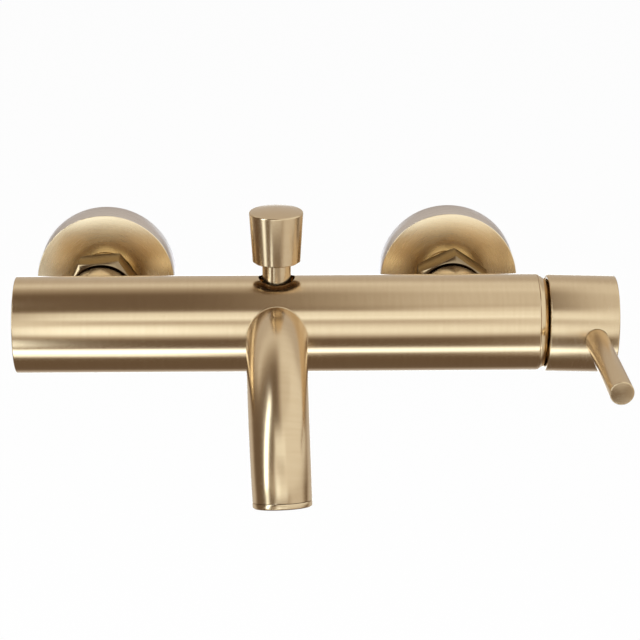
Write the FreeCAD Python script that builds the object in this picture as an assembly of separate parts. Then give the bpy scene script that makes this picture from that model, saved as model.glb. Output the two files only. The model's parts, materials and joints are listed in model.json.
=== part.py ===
import FreeCAD, Part
import math
import os

# Bath mixer for two wall inlets, with a turn-and-lift handle on its right end, a pull-up diverter and
# a bent spout. Millimetres. X runs to the right, Y into the wall and Z up. The origin is on the wall,
# midway between the inlets and level with the body tube.

X = FreeCAD.Vector(1, 0, 0)
Y = FreeCAD.Vector(0, 1, 0)
Z = FreeCAD.Vector(0, 0, 1)
ORIGIN = FreeCAD.Vector(0, 0, 0)

# Clearances
seat_gap = 0.05             # flat faces of two moving pieces that bear on each other
slide_fit = 0.1             # a piece that turns or slides in its housing
thread_fit = 0.05           # radial, between two plain cylinders that stand for a thread
loose_fit = 0.3             # beside a piece that moves past
fuse_depth = 0.5            # how far the members of one casting run into each other

# Body tube
inlet_spacing = 150.0
axis_reach = 72.0           # wall to the axis of the body tube
body_radius = 20.0
body_length = 214.5
body_edge = 0.5
end_wall = 2.4              # wall of the tube at the cartridge's thread
leg_radius = 14.3
leg_gap = 2.75              # open stretch between a union nut and its leg
leg_bore_radius = 11.0
leg_bore_spare = 2.5        # beyond the end of the inlet tail
passage_radius = 2.4        # drilled water ways
supply_radius = 3.5         # the long hot water way behind the diverter
supply_back = 12.4          # its axis behind and below the tube's axis
supply_drop = 4.0
half_length = body_length / 2

# Left end plug
plug_radius = 15.0
plug_thickness = 6.5
plug_oring_depth = 4.25

# Wall union, escutcheon and union nut
wall_thread_radius = 10.48
wall_thread_length = 18.0
wall_axis_drop = 6.0        # the wall thread lies this far below the tube's axis
union_thread_radius = 13.1
union_face = 29.8           # wall to the union's sealing face
union_bore_radius = 7.5
union_block_radius = 16.5
union_block_back = 3.0
union_block_front = 8.0
union_bore_lap = 1.0        # how far the two offset bores of the union run past its block's faces
escutcheon_radius = 29.8
escutcheon_depth = 14.5
escutcheon_wall = 1.5
escutcheon_face = 2.0
escutcheon_edge = 0.8
nut_across_flats = 30.0
nut_back = 22.2             # wall to the nut's rear face
nut_length = 14.8
nut_lip = 3.0
nut_corner_cut = 0.4        # how far the chamfer of the corners comes in from the flats
nut_turn_left = 5.0         # degrees from level to a corner of the hexagon
nut_turn_right = 25.0
washer_thickness = 2.0
washer_inner_radius = 8.3
washer_margin = 0.6         # inside the union's thread
strainer_thickness = 0.6
strainer_hole_radius = 1.3
strainer_margin = 2.2       # rim outside the ring of holes
strainer_holes = 6

# Inlet tail and check valve
tail_collar = 2.1
tail_collar_radius = 12.6
tail_neck_radius = 10.4
tail_thread_length = 11.5
tail_bore_radius = 7.9
tail_key_across = 12.0
tail_bore_spare = 1.0       # beyond the check valve
check_length = 13.0
check_wall = 1.9
check_seat_radius = 4.2
check_lip = 1.8
check_poppet_thickness = 2.0
check_poppet_radius = 5.2
check_stem_radius = 1.3
check_travel = 2.5
check_spider = 2.5
check_hub_wall = 1.2
check_arm_width = 1.4
check_coil_radius = 2.5
check_wire_radius = 0.25
check_turns = 4

# Cartridge, measured along the body tube from the pivot of the spindle
pivot_depth = 10.25         # pivot behind the right end of the tube
rotor_above = 2.8
rotor_below = 3.8
rotor_radius = 12.4
housing_wall = 1.35
housing_top = 2.0
carrier_thickness = 3.85
carrier_radius = 9.4
carrier_half_width = 7.6
moving_disc_thickness = 2.45
moving_disc_radius = 9.6
mixing_recess_radius = 8.2
mixing_recess_depth = 1.2
mixing_recess_land = 1.0
fixed_disc_thickness = 3.0
base_thickness = 3.2
base_spigot = 1.2
disc_key_width = 3.0
disc_key_depth = 1.4
disc_key_short = 1.0        # below the fixed disc's face
seal_height = 1.2
seal_stand = 0.3            # how far the seals stand out of the base
seal_wall = 1.0
port_radius = 2.4
inlet_port_front = 4.0      # hot and cold ports: in front of the axis, below and above it
inlet_port_rise = 6.0
outlet_port_back = 6.0
ball_arm = 5.5
ball_radius = 2.0
ball_neck_radius = 1.5
ball_neck_length = 2.4      # centre of the ball to the shank
shank_radius = 2.9
spindle_across = 8.0
spindle_square_start = 7.5
spindle_length = 33.5
spindle_clearance = 0.35    # round the spindle at full lift
pin_radius = 1.5
pin_inset = 1.0
nut_ring_thickness = 2.5
nut_ring_slot = 3.0
nut_ring_slot_length = 4.0
thread_relief = 0.6

# Handle
dome_gap = 0.55             # between the handle's rim and the dome that it swings over
dome_insert = 2.4
dome_set_in = 0.15          # flange inside the tube's outline
cap_start = 3.75            # right end of the tube to the rim of the cap
cap_length = 28.15
cap_wall = 1.8
cap_floor_gap = 2.1         # between the dome and the cap's floor
cap_edge = 1.0
cap_rim_chamfer = 0.3
handle_droop = 1.5          # degrees that the handle hangs in the play of its spindle
handle_lift = 20.0          # degrees
lever_radius = 4.8
lever_reach = 56.3          # cap surface to the tip
lever_inset = 18.1          # rim of the cap to the lever
lever_seat = 3.5
lever_stud_radius = 3.0
lever_stud_wall = 2.0       # between the spindle and the stud
lever_stud_spare = 0.4
lever_dip = 1.5             # degrees below the horizontal
lever_lean = 2.2            # degrees away from the body
lever_edge = 0.4
grub_radius = 2.5
grub_inset = 14.0
grub_sink = 1.5
grub_key_across = 2.5
grub_key_depth = 2.5

# Diverter
diverter_bore_radius = 7.5
diverter_travel = 5.8
stem_radius = 5.9
stem_cover = 0.7            # of the thick stem that stays in the tube when it is pulled up
bonnet_sink = 0.5           # below the thick stem
rod_radius = 2.5
rod_screw_radius = 1.5
rod_screw_stand = 0.6       # of the rod's end, below the valve's core
knob_bottom = 27.0
knob_top = 47.3
knob_bottom_radius = 9.9
knob_top_radius = 11.1
knob_crown = 1.0
knob_edge = 0.7
knob_rim = 0.4
knob_thread_radius = 3.0
knob_thread_depth = 11.0
knob_thread_spare = 1.0
bonnet_length = 5.0
bonnet_slot = 2.0
bonnet_slot_depth = 1.0
upper_seat_top = -4.5
upper_seat_thickness = 1.5
seat_mouth_radius = 4.6
valve_radius = 6.0
valve_core_thickness = 2.0
valve_seal_thickness = 1.0
valve_seal_inner_radius = 3.2
clip_radius = 5.0
clip_thickness = 0.8
clip_top = -2.5
clip_groove = 0.5
clip_mouth = 3.2
spring_coil_radius = 4.1
spring_wire_radius = 0.25
spring_turns = 4

# Shower outlet below the diverter
outlet_boss_radius = 11.5
outlet_boss_bottom = -22.5
outlet_thread_radius = 8.0
outlet_collar_across = 21.0
outlet_collar = 3.0
hose_thread_radius = 10.48
hose_thread_length = 10.5
hose_bore_radius = 7.0

# Spout
spout_root_radius = 12.4
spout_tip_radius = 11.7
spout_wall = 1.6
spout_bend_radius = 55.6
spout_bend_angle = 73.0
spout_drop = 10.2           # straight stretch after the bend
spout_sections = 6          # between the circles that the bend is lofted through
spout_lean = 2.4            # degrees that the spout is turned in its socket
spigot_radius = 9.0
spigot_length = 9.5         # tube surface to the inner end of the spigot
spigot_bore_radius = 4.2
spout_solid_root = 3.0      # tube surface to the start of the hollow
spout_oring_inset = 1.6
lock_screw_radius = 1.5
lock_screw_set_back = 4.7   # behind the front of the tube
lock_screw_key_across = 1.5
lock_screw_key_depth = 1.0
aerator_rim = 2.4
aerator_edge = 0.5
aerator_thread_length = 7.0
aerator_thread_wall = 1.3
aerator_plate = 2.0
aerator_recess = 0.9
aerator_cup_wall = 1.2
aerator_hole_radius = 0.7
aerator_hole_pitch = 2.6
aerator_rows = 2
aerator_washer_width = 2.4
aerator_washer_thickness = 1.5

# O-rings, pressed into their grooves
oring_section = 1.6
groove_slack = 0.1

# Places worked out from the sizes above
body_end = half_length
end_thread_radius = body_radius - end_wall
lift = math.radians(handle_lift)
rotor_slot = rotor_below * math.tan(lift) + shank_radius / math.cos(lift) + loose_fit
pivot_x = body_end - pivot_depth
rotor_bottom_x = pivot_x - rotor_below
carrier_x = rotor_bottom_x - loose_fit - carrier_thickness
moving_disc_x = carrier_x - moving_disc_thickness
fixed_disc_x = moving_disc_x - seat_gap - fixed_disc_thickness
base_x = fixed_disc_x - base_thickness
seat_x = base_x - seal_stand
housing_x = fixed_disc_x - base_spigot
housing_inner_radius = rotor_radius + slide_fit
housing_radius = housing_inner_radius + housing_wall
housing_top_x = pivot_x + rotor_above + loose_fit
nut_ring_x = housing_top_x + housing_top
cap_radius = body_radius
cap_x = body_end + cap_start
cap_rim_inner_radius = cap_radius - cap_wall
dome_radius = math.hypot(cap_x - pivot_x, cap_rim_inner_radius) - dome_gap
dome_flange_radius = body_radius - dome_set_in
cap_cavity = dome_radius + cap_floor_gap - (cap_x - pivot_x)
lever_stud_start = spindle_across / 2 + lever_stud_wall
nut_front = nut_back + nut_length
leg_end = nut_front + leg_gap
leg_bore_depth = tail_thread_length + leg_bore_spare
leg_bottom = axis_reach - leg_end - leg_bore_depth
collar_front = nut_front - nut_lip - seat_gap
collar_back = collar_front - tail_collar
stem_bottom = body_radius - stem_cover - diverter_travel
bonnet_top = stem_bottom - bonnet_sink
bonnet_bottom = bonnet_top - bonnet_length
bonnet_oring_level = bonnet_bottom + (bonnet_length - bonnet_slot_depth) / 2
chamber_top = upper_seat_top - upper_seat_thickness
valve_top = chamber_top - seat_gap - diverter_travel
valve_core_top = valve_top - valve_seal_thickness
valve_core_bottom = valve_core_top - valve_core_thickness
valve_bottom = valve_core_bottom - valve_seal_thickness
outlet_seat = valve_bottom - seat_gap
mixed_level = (chamber_top + valve_top) / 2
outlet_collar_bottom = outlet_boss_bottom - outlet_collar
outlet_oring_level = (outlet_boss_bottom + outlet_seat) / 2
spout_socket = spigot_length - loose_fit
lock_screw_front = body_radius - lock_screw_set_back
spout_bore_radius = spout_tip_radius - spout_wall
aerator_thread = spout_bore_radius - thread_fit
aerator_bore = aerator_thread - aerator_thread_wall
sides = {"left": -1, "right": 1}


def wall_point(x, reach, z=0.0):
    """A point at a distance in front of the wall."""
    return FreeCAD.Vector(x, -reach, z)


def tube_point(x, back, z=0.0):
    """A point given from the axis of the body tube, back being towards the wall."""
    return FreeCAD.Vector(x, back - axis_reach, z)


def rod(radius, length, start, direction):
    return Part.makeCylinder(radius, length, start, direction)


def ring(outer, inner, length, start, direction):
    return rod(outer, length, start, direction).cut(rod(inner, length, start, direction))


def block(low, high):
    """A box between two opposite corners."""
    size = high - low
    return Part.makeBox(size.x, size.y, size.z, low)


def placed(shape, start, direction):
    """Moves a shape drawn round the Z axis to another start and direction."""
    shape.Placement = FreeCAD.Placement(start, FreeCAD.Rotation(Z, direction))
    return shape


def turned(points, start, direction):
    """Revolves a closed outline. A point is (radius, along), or (radius, along, radius, along) where an
    arc passes the first pair and ends at the second."""
    def spot(pair):
        return FreeCAD.Vector(pair[0], 0, pair[1])

    edges = []
    last = spot(points[0])
    for point in points[1:] + [points[0]]:
        here = spot(point[-2:])
        if len(point) == 4:
            edges.append(Part.Arc(last, spot(point[:2]), here).toShape())
        else:
            edges.append(Part.LineSegment(last, here).toShape())
        last = here
    solid = Part.Face(Part.Wire(edges)).revolve(ORIGIN, Z, 360)
    return placed(solid, start, direction)


def hexagon(across, length, start, direction, turn=0.0):
    """A hexagonal bar. On one that points out of the wall, the turn is from +X up to a corner."""
    radius = across / 2 / math.cos(math.radians(30))
    angles = [math.radians(turn + 60 * i) for i in range(7)]
    corners = [FreeCAD.Vector(radius * math.cos(a), radius * math.sin(a), 0) for a in angles]
    bar = Part.Face(Part.makePolygon(corners)).extrude(Z * length)
    return placed(bar, start, direction)


def coil(radius, wire, turns, length, start, direction):
    """A compression spring between two planes. Its wire is drawn with six flats."""
    rise = length - 2 * wire
    helix = Part.makeHelix(rise / turns, rise, radius)
    angles = [math.radians(60 * i) for i in range(7)]
    corners = [FreeCAD.Vector(radius + wire * math.cos(a), 0, wire * math.sin(a)) for a in angles]
    spring = Part.Wire(helix).makePipeShell([Part.makePolygon(corners)], True, True)
    return placed(spring, start + direction * wire, direction)


def oring(outer, middle, direction):
    """An O-ring pressed into its groove, its round section drawn with eight flats."""
    inner = outer - oring_section
    half = oring_section / 2
    cut = oring_section / (2 + math.sqrt(2))
    return turned([
        (inner, cut - half),
        (inner + cut, -half),
        (outer - cut, -half),
        (outer, cut - half),
        (outer, half - cut),
        (outer - cut, half),
        (inner + cut, half),
        (inner, half - cut),
    ], middle, direction)


def groove(outer, middle, direction):
    """The room of an O-ring with this outer radius."""
    width = oring_section + 2 * groove_slack
    return ring(outer, outer - oring_section, width, middle - direction * width / 2, direction)


def drilled(points, radius):
    """Water ways drilled from point to point, each run past its ends by its own radius."""
    ways = []
    for a, b in zip(points, points[1:]):
        along = (b - a).normalize()
        ways.append(rod(radius, (b - a).Length + 2 * radius, a - along * radius, along))
    return ways


def spindle_room(along):
    """Radius of a hole that the lifted spindle clears, at a distance along from its pivot."""
    corner = spindle_across / 2 * math.sqrt(2)
    return along * math.tan(lift) + corner / math.cos(lift) + spindle_clearance


def ports():
    """Hot, cold and mixed port centres, as distances behind and above the tube's axis."""
    return [
        (-inlet_port_front, -inlet_port_rise),
        (-inlet_port_front, inlet_port_rise),
        (outlet_port_back, 0.0),
    ]


def drooped(shape):
    """Hangs a piece of the handle in the play of the spindle."""
    shape.rotate(tube_point(pivot_x, 0), Y, handle_droop)
    return shape


# Body

def water_ways():
    """Hot water runs behind the diverter to the cartridge, cold comes straight down the right leg, and
    mixed water runs back to the diverter."""
    leg_x = inlet_spacing / 2
    turn_x = leg_x - leg_bore_radius
    hot, cold, mixed = ports()
    plug_face = tube_point(-half_length + plug_thickness, supply_back, -supply_drop)
    supply = rod(supply_radius, half_length - plug_thickness + leg_x + supply_radius, plug_face, X)
    left_drop = drilled([
        tube_point(-leg_x, leg_bottom, -supply_drop),
        tube_point(-leg_x, supply_back, -supply_drop),
    ], supply_radius)
    hot_way = drilled([
        tube_point(leg_x, supply_back, hot[1]),
        tube_point(leg_x, hot[0], hot[1]),
        tube_point(seat_x, hot[0], hot[1]),
    ], passage_radius)
    cold_way = drilled([
        tube_point(leg_x, leg_bottom, cold[1]),
        tube_point(leg_x, cold[0], cold[1]),
        tube_point(seat_x, cold[0], cold[1]),
    ], passage_radius)
    mixed_way = drilled([
        tube_point(seat_x, mixed[0], mixed[1]),
        tube_point(turn_x, mixed[0], mixed[1]),
        tube_point(turn_x, 0, mixed_level),
        tube_point(0, 0, mixed_level),
    ], passage_radius)
    return [supply] + left_drop + hot_way + cold_way + mixed_way


def body():
    r = body_radius
    e = body_edge
    solid = turned([
        (0, 0),
        (r - e, 0),
        (r, e),
        (r, body_length - e),
        (r - e, body_length),
        (0, body_length),
    ], tube_point(-half_length, 0), X)
    cuts = water_ways()
    for side in sides.values():
        mouth = wall_point(side * inlet_spacing / 2, leg_end)
        solid = solid.fuse(rod(leg_radius, axis_reach - leg_end, mouth, -Y))
        cuts.append(rod(leg_bore_radius, leg_bore_depth, mouth, -Y))
    under = tube_point(0, 0, outlet_boss_bottom)
    solid = solid.fuse(rod(outlet_boss_radius, -outlet_boss_bottom, under, Z))
    thread_x = nut_ring_x - thread_relief
    lock_start = tube_point(0, -lock_screw_front, -spigot_radius + lock_screw_radius)
    cuts.append(rod(plug_radius, plug_thickness, tube_point(-half_length, 0), X))
    cuts.append(rod(housing_radius + slide_fit, body_end - seat_x, tube_point(seat_x, 0), X))
    cuts.append(rod(end_thread_radius, body_end - thread_x, tube_point(thread_x, 0), X))
    cuts.append(rod(diverter_bore_radius, r - upper_seat_top, tube_point(0, 0, upper_seat_top), Z))
    cuts.append(rod(seat_mouth_radius, upper_seat_thickness, tube_point(0, 0, chamber_top), Z))
    cuts.append(rod(outlet_thread_radius, chamber_top - outlet_boss_bottom, under, Z))
    cuts.append(rod(spigot_radius, spigot_length, tube_point(0, -r + spigot_length), -Y))
    cuts.append(rod(spigot_bore_radius, r, tube_point(0, 0), -Y))
    cuts.append(rod(lock_screw_radius, r, lock_start, -Z))
    return solid.cut(cuts)


def plug_oring_place():
    return tube_point(-half_length + plug_oring_depth, 0)


def end_plug():
    plug = rod(plug_radius - thread_fit, plug_thickness, tube_point(-half_length, 0), X)
    return plug.cut(groove(plug_radius, plug_oring_place(), X))


def end_plug_oring():
    return oring(plug_radius, plug_oring_place(), X)


# Inlets

def escutcheon(x):
    r = escutcheon_radius
    e = escutcheon_edge
    arc = e * (1 - math.sqrt(0.5))
    inner = union_thread_radius + thread_fit
    return turned([
        (inner, escutcheon_depth),
        (inner, escutcheon_depth - escutcheon_face),
        (r - escutcheon_wall, escutcheon_depth - escutcheon_face),
        (r - escutcheon_wall, 0),
        (r, 0),
        (r, escutcheon_depth - e),
        (r - arc, escutcheon_depth - arc, r - e, escutcheon_depth),
    ], wall_point(x, 0), -Y)


def wall_union(x):
    """The eccentric union between the wall's thread and the union nut."""
    front = rod(union_thread_radius, union_face - union_block_back, wall_point(x, union_block_back), -Y)
    middle = wall_point(x, union_block_back, -wall_axis_drop / 2)
    hub = rod(union_block_radius, union_block_front - union_block_back, middle, -Y)
    back_length = wall_thread_length + union_block_back
    back = rod(wall_thread_radius, back_length, wall_point(x, union_block_back, -wall_axis_drop), Y)
    front_bore = rod(union_bore_radius, union_face, wall_point(x, union_block_back + union_bore_lap), -Y)
    back_start = wall_point(x, union_block_front - union_bore_lap, -wall_axis_drop)
    back_bore = rod(union_bore_radius, wall_thread_length + union_block_front, back_start, Y)
    return front.fuse([hub, back]).cut([front_bore, back_bore])


def union_nut(x, turn):
    """A hexagon nut with chamfered corners and a lip that pulls the tail's collar."""
    start = wall_point(x, nut_back)
    corner = nut_across_flats / 2 / math.cos(math.radians(30))
    flat = nut_across_flats / 2 - nut_corner_cut
    slope = (corner - flat) * math.tan(math.radians(30))
    bar = hexagon(nut_across_flats, nut_length, start, -Y, turn)
    limit = turned([
        (0, 0),
        (flat, 0),
        (corner, slope),
        (corner, nut_length - slope),
        (flat, nut_length),
        (0, nut_length),
    ], start, -Y)
    thread = rod(union_thread_radius + slide_fit, nut_length - nut_lip, start, -Y)
    hole = rod(tail_neck_radius + slide_fit, nut_length, start, -Y)
    return bar.common(limit).cut([thread, hole])


def union_washer(x):
    outer = union_thread_radius - washer_margin
    return ring(outer, washer_inner_radius, washer_thickness, wall_point(x, union_face), -Y)


def inlet_strainer(x):
    """A perforated disc in the washer's hole."""
    start = wall_point(x, union_face + (washer_thickness - strainer_thickness) / 2)
    disc = rod(washer_inner_radius, strainer_thickness, start, -Y)
    holes = [rod(strainer_hole_radius, strainer_thickness, start, -Y)]
    circle = washer_inner_radius - strainer_margin - strainer_hole_radius
    for i in range(strainer_holes):
        angle = 2 * math.pi * i / strainer_holes
        offset = FreeCAD.Vector(math.cos(angle), 0, math.sin(angle)) * circle
        holes.append(rod(strainer_hole_radius, strainer_thickness, start + offset, -Y))
    return disc.cut(holes)


def inlet_tail(x):
    """The collared tube that screws into a leg and carries the union nut."""
    tail_end = leg_end + tail_thread_length
    collar = rod(tail_collar_radius, tail_collar, wall_point(x, collar_back), -Y)
    neck = rod(tail_neck_radius, leg_end - collar_back, wall_point(x, collar_back), -Y)
    thread = rod(leg_bore_radius - thread_fit, tail_thread_length, wall_point(x, leg_end), -Y)
    bore = rod(tail_bore_radius, check_length + tail_bore_spare, wall_point(x, collar_back), -Y)
    key = hexagon(tail_key_across, tail_end - collar_back, wall_point(x, collar_back), -Y)
    return collar.fuse([neck, thread]).cut([bore, key])


def check_cage(x):
    """Seat and spider of the check valve."""
    start = wall_point(x, collar_back)
    outer = tail_bore_radius - thread_fit
    inner = outer - check_wall
    shell = ring(outer, inner, check_length, start, -Y)
    lip = ring(inner + fuse_depth, check_seat_radius, check_lip, start, -Y)
    spider_start = wall_point(x, collar_back + check_length - check_spider)
    hub = rod(check_stem_radius + check_hub_wall, check_spider, spider_start, -Y)
    parts = [lip, hub]
    half = check_arm_width / 2
    for i in range(3):
        arm = block(FreeCAD.Vector(0, -check_spider, -half), FreeCAD.Vector(inner + fuse_depth, 0, half))
        arm.rotate(ORIGIN, Y, 120 * i)
        arm.translate(spider_start)
        parts.append(arm)
    guide = rod(check_stem_radius + slide_fit, check_spider, spider_start, -Y)
    return shell.fuse(parts).cut(guide)


def check_poppet(x):
    """Closes against the seat and slides in the spider."""
    start = wall_point(x, collar_back + check_lip + seat_gap)
    disc = rod(check_poppet_radius, check_poppet_thickness, start, -Y)
    stem_length = check_length - check_lip - seat_gap - check_travel
    stem = rod(check_stem_radius, stem_length, start, -Y)
    return disc.fuse(stem)


def check_spring(x):
    start_reach = collar_back + check_lip + seat_gap + check_poppet_thickness
    length = collar_back + check_length - check_spider - start_reach
    return coil(check_coil_radius, check_wire_radius, check_turns, length, wall_point(x, start_reach), -Y)


# Cartridge

def cartridge_seals():
    rings = [ring(port_radius + seal_wall, port_radius, seal_height, tube_point(seat_x, back, up), X)
             for back, up in ports()]
    return Part.makeCompound(rings)


def disc_keys(depth):
    """Two lugs on the rim that stop the fixed disc from turning."""
    lugs = []
    for side in (-1, 1):
        inner = rotor_radius - depth
        outer = rotor_radius
        low = tube_point(0, min(side * inner, side * outer), -disc_key_width / 2)
        high = tube_point(1, max(side * inner, side * outer), disc_key_width / 2)
        lugs.append((low, high))
    return lugs


def cartridge_base():
    flange = rod(housing_radius, base_thickness - base_spigot, tube_point(base_x, 0), X)
    spigot = rod(housing_inner_radius - thread_fit, base_spigot, tube_point(housing_x, 0), X)
    solid = flange.fuse(spigot)
    for low, high in disc_keys(disc_key_depth - slide_fit):
        low.x = fixed_disc_x - fuse_depth
        high.x = fixed_disc_x + fixed_disc_thickness - disc_key_short
        solid = solid.fuse(block(low, high))
    cuts = []
    for back, up in ports():
        cuts.append(rod(port_radius, base_thickness, tube_point(base_x, back, up), X))
        cuts.append(rod(port_radius + seal_wall, seal_height - seal_stand, tube_point(base_x, back, up), X))
    return solid.cut(cuts)


def fixed_disc():
    disc = rod(rotor_radius, fixed_disc_thickness, tube_point(fixed_disc_x, 0), X)
    cuts = []
    for back, up in ports():
        cuts.append(rod(port_radius, fixed_disc_thickness, tube_point(fixed_disc_x, back, up), X))
    for low, high in disc_keys(disc_key_depth):
        low.x = fixed_disc_x
        low.z -= slide_fit
        high.x = fixed_disc_x + fixed_disc_thickness
        high.z += slide_fit
        cuts.append(block(low, high))
    return disc.cut(cuts)


def moving_disc():
    """Its recess covers the outlet port at rest, and reaches the inlet ports as it slides forward."""
    disc = rod(moving_disc_radius, moving_disc_thickness, tube_point(moving_disc_x, 0), X)
    recess = rod(mixing_recess_radius, mixing_recess_depth, tube_point(moving_disc_x, 0), X)
    land = block(
        tube_point(moving_disc_x, -moving_disc_radius, -moving_disc_radius),
        tube_point(moving_disc_x + mixing_recess_depth, -mixing_recess_land, moving_disc_radius),
    )
    return disc.cut(recess.cut(land))


def disc_carrier():
    """Drives the moving disc: the rotor turns it by its flats and the spindle's ball slides it."""
    w = carrier_half_width
    disc = rod(carrier_radius, carrier_thickness, tube_point(carrier_x, 0), X)
    flats = block(
        tube_point(carrier_x, -carrier_radius, -w),
        tube_point(carrier_x + carrier_thickness, carrier_radius, w),
    )
    reach = ball_radius + slide_fit
    pocket = block(
        tube_point(carrier_x, -reach, -reach - loose_fit),
        tube_point(carrier_x + carrier_thickness, reach, reach + loose_fit),
    )
    return disc.common(flats).cut(pocket)


def cartridge_rotor():
    top_x = pivot_x + rotor_above
    disc = rod(rotor_radius, top_x - rotor_bottom_x, tube_point(rotor_bottom_x, 0), X)
    skirt_x = moving_disc_x + moving_disc_thickness + loose_fit
    skirt = rod(rotor_radius, rotor_bottom_x - skirt_x, tube_point(skirt_x, 0), X)
    gap = carrier_half_width + slide_fit
    skirt_gap = block(
        tube_point(skirt_x, -rotor_radius, -gap),
        tube_point(rotor_bottom_x, rotor_radius, gap),
    )
    slot_width = shank_radius + loose_fit
    slot = block(
        tube_point(rotor_bottom_x, -rotor_slot, -slot_width),
        tube_point(top_x, rotor_slot, slot_width),
    )
    pin_hole = rod(pin_radius, 2 * rotor_radius, tube_point(pivot_x, 0, -rotor_radius), Z)
    return disc.fuse(skirt.cut(skirt_gap)).cut([slot, pin_hole])


def pivot_pin():
    half = rotor_radius - pin_inset
    return rod(pin_radius, 2 * half, tube_point(pivot_x, 0, -half), Z)


def spindle():
    """Ball, shank with the pin's hole, and square end."""
    neck_start = -ball_arm + math.sqrt(ball_radius ** 2 - ball_neck_radius ** 2)
    shank_start = -ball_arm + ball_neck_length
    stem = turned([
        (0, -ball_arm - ball_radius),
        (ball_radius, -ball_arm, ball_neck_radius, neck_start),
        (ball_neck_radius, shank_start),
        (shank_radius, shank_start),
        (shank_radius, spindle_square_start),
        (0, spindle_square_start),
    ], tube_point(pivot_x, 0), X)
    half = spindle_across / 2
    square = block(
        tube_point(pivot_x + spindle_square_start, -half, -half),
        tube_point(pivot_x + spindle_length, half, half),
    )
    hole = rod(pin_radius + slide_fit, 2 * half, tube_point(pivot_x, 0, -half), Z)
    return drooped(stem.fuse(square).cut(hole))


def cartridge_housing():
    wall = ring(housing_radius, housing_inner_radius, housing_top_x - housing_x, tube_point(housing_x, 0), X)
    mouth = spindle_room(nut_ring_x - pivot_x)
    top = ring(housing_radius, mouth, housing_top, tube_point(housing_top_x, 0), X)
    return wall.fuse(top)


def clamping_nut():
    """The threaded ring that holds the cartridge down, with four slots for its key."""
    front_x = nut_ring_x + nut_ring_thickness
    mouth = spindle_room(front_x - pivot_x)
    nut = ring(end_thread_radius - thread_fit, mouth, nut_ring_thickness, tube_point(nut_ring_x, 0), X)
    half = nut_ring_slot / 2
    depth = nut_ring_thickness / 2
    slots = []
    for i in range(4):
        low = FreeCAD.Vector(-depth, mouth - fuse_depth, -half)
        slot = block(low, FreeCAD.Vector(0, mouth + nut_ring_slot_length, half))
        slot.rotate(ORIGIN, X, 90 * i + 45)
        slot.translate(tube_point(front_x, 0))
        slots.append(slot)
    return nut.cut(slots)


def dome_ring():
    """A ball-shaped cover centred on the pivot, so that the handle's rim swings over it."""
    insert_x = body_end - dome_insert
    corner = spindle_across / 2 * math.sqrt(2) + spindle_clearance
    mouth_angle = lift + math.asin(corner / dome_radius)
    mouth = dome_radius * math.sin(mouth_angle)
    top = dome_radius * math.cos(mouth_angle)
    foot = math.sqrt(dome_radius ** 2 - dome_flange_radius ** 2)
    middle = math.hypot(mouth + dome_flange_radius, top + foot)
    mid_radius = (mouth + dome_flange_radius) * dome_radius / middle
    mid_along = (top + foot) * dome_radius / middle
    end = body_end - pivot_x
    start = insert_x - pivot_x
    return turned([
        (mouth, start),
        (end_thread_radius - thread_fit, start),
        (end_thread_radius - thread_fit, end),
        (dome_flange_radius, end),
        (dome_flange_radius, foot),
        (mid_radius, mid_along, mouth, top),
    ], tube_point(pivot_x, 0), X)


# Handle

def lever_line():
    """Start on the cap's axis and direction of the lever."""
    start = tube_point(cap_x + lever_inset, 0)
    dip = math.radians(lever_dip)
    lean = math.radians(lever_lean)
    level = FreeCAD.Vector(math.sin(lean), -math.cos(lean), 0)
    direction = level * math.cos(dip) - Z * math.sin(dip)
    return start, direction


def handle_cap():
    r = cap_radius
    e = cap_edge
    arc = e * (1 - math.sqrt(0.5))
    shell = turned([
        (0, cap_cavity),
        (cap_rim_inner_radius, cap_cavity),
        (cap_rim_inner_radius, 0),
        (r - cap_rim_chamfer, 0),
        (r, cap_rim_chamfer),
        (r, cap_length - e),
        (r - arc, cap_length - arc, r - e, cap_length),
        (0, cap_length),
    ], tube_point(cap_x, 0), X)
    half = spindle_across / 2 + slide_fit
    end = pivot_x + spindle_length + loose_fit
    socket = block(tube_point(cap_x, -half, -half), tube_point(end, half, half))
    start, direction = lever_line()
    seat_start = start + direction * (cap_radius - lever_seat)
    seat = rod(lever_radius + thread_fit, cap_radius, seat_start, direction)
    stud_start = start + direction * (lever_stud_start - lever_stud_spare)
    stud = rod(lever_stud_radius, cap_radius, stud_start, direction)
    grub = rod(grub_radius, cap_radius, tube_point(cap_x + grub_inset, 0), -Z)
    return drooped(shell.cut([socket, seat, stud, grub]))


def handle_lever():
    start, direction = lever_line()
    root = cap_radius - lever_seat
    tip = cap_radius + lever_reach
    e = lever_edge
    lever = turned([
        (0, lever_stud_start),
        (lever_stud_radius, lever_stud_start),
        (lever_stud_radius, root),
        (lever_radius, root),
        (lever_radius, tip - e),
        (lever_radius - e, tip),
        (0, tip),
    ], start, direction)
    return drooped(lever)


def handle_grub_screw():
    top = -spindle_across / 2
    bottom = -cap_radius + grub_sink
    start = tube_point(cap_x + grub_inset, 0, bottom)
    screw = rod(grub_radius, top - bottom, start, Z)
    key = hexagon(grub_key_across, grub_key_depth, start, Z)
    return drooped(screw.cut(key))


# Diverter

def diverter_knob():
    """A tapered knob with a rounded edge and a crown that is part of a ball."""
    e = knob_edge
    slant = e * math.sqrt(0.5)
    flat_radius = knob_top_radius - e
    ball = (flat_radius ** 2 + knob_crown ** 2) / (2 * knob_crown)
    half_turn = math.asin(flat_radius / ball) / 2
    crown_base = knob_top + e
    solid = turned([
        (0, knob_bottom),
        (knob_bottom_radius - knob_rim, knob_bottom),
        (knob_bottom_radius, knob_bottom + knob_rim),
        (knob_top_radius, knob_top),
        (flat_radius + slant, knob_top + slant, flat_radius, crown_base),
        (ball * math.sin(half_turn), crown_base + knob_crown - ball * (1 - math.cos(half_turn)),
         0, crown_base + knob_crown),
    ], tube_point(0, 0), Z)
    hole = rod(knob_thread_radius, knob_thread_depth, tube_point(0, 0, knob_bottom), Z)
    return solid.cut(hole)


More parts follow.
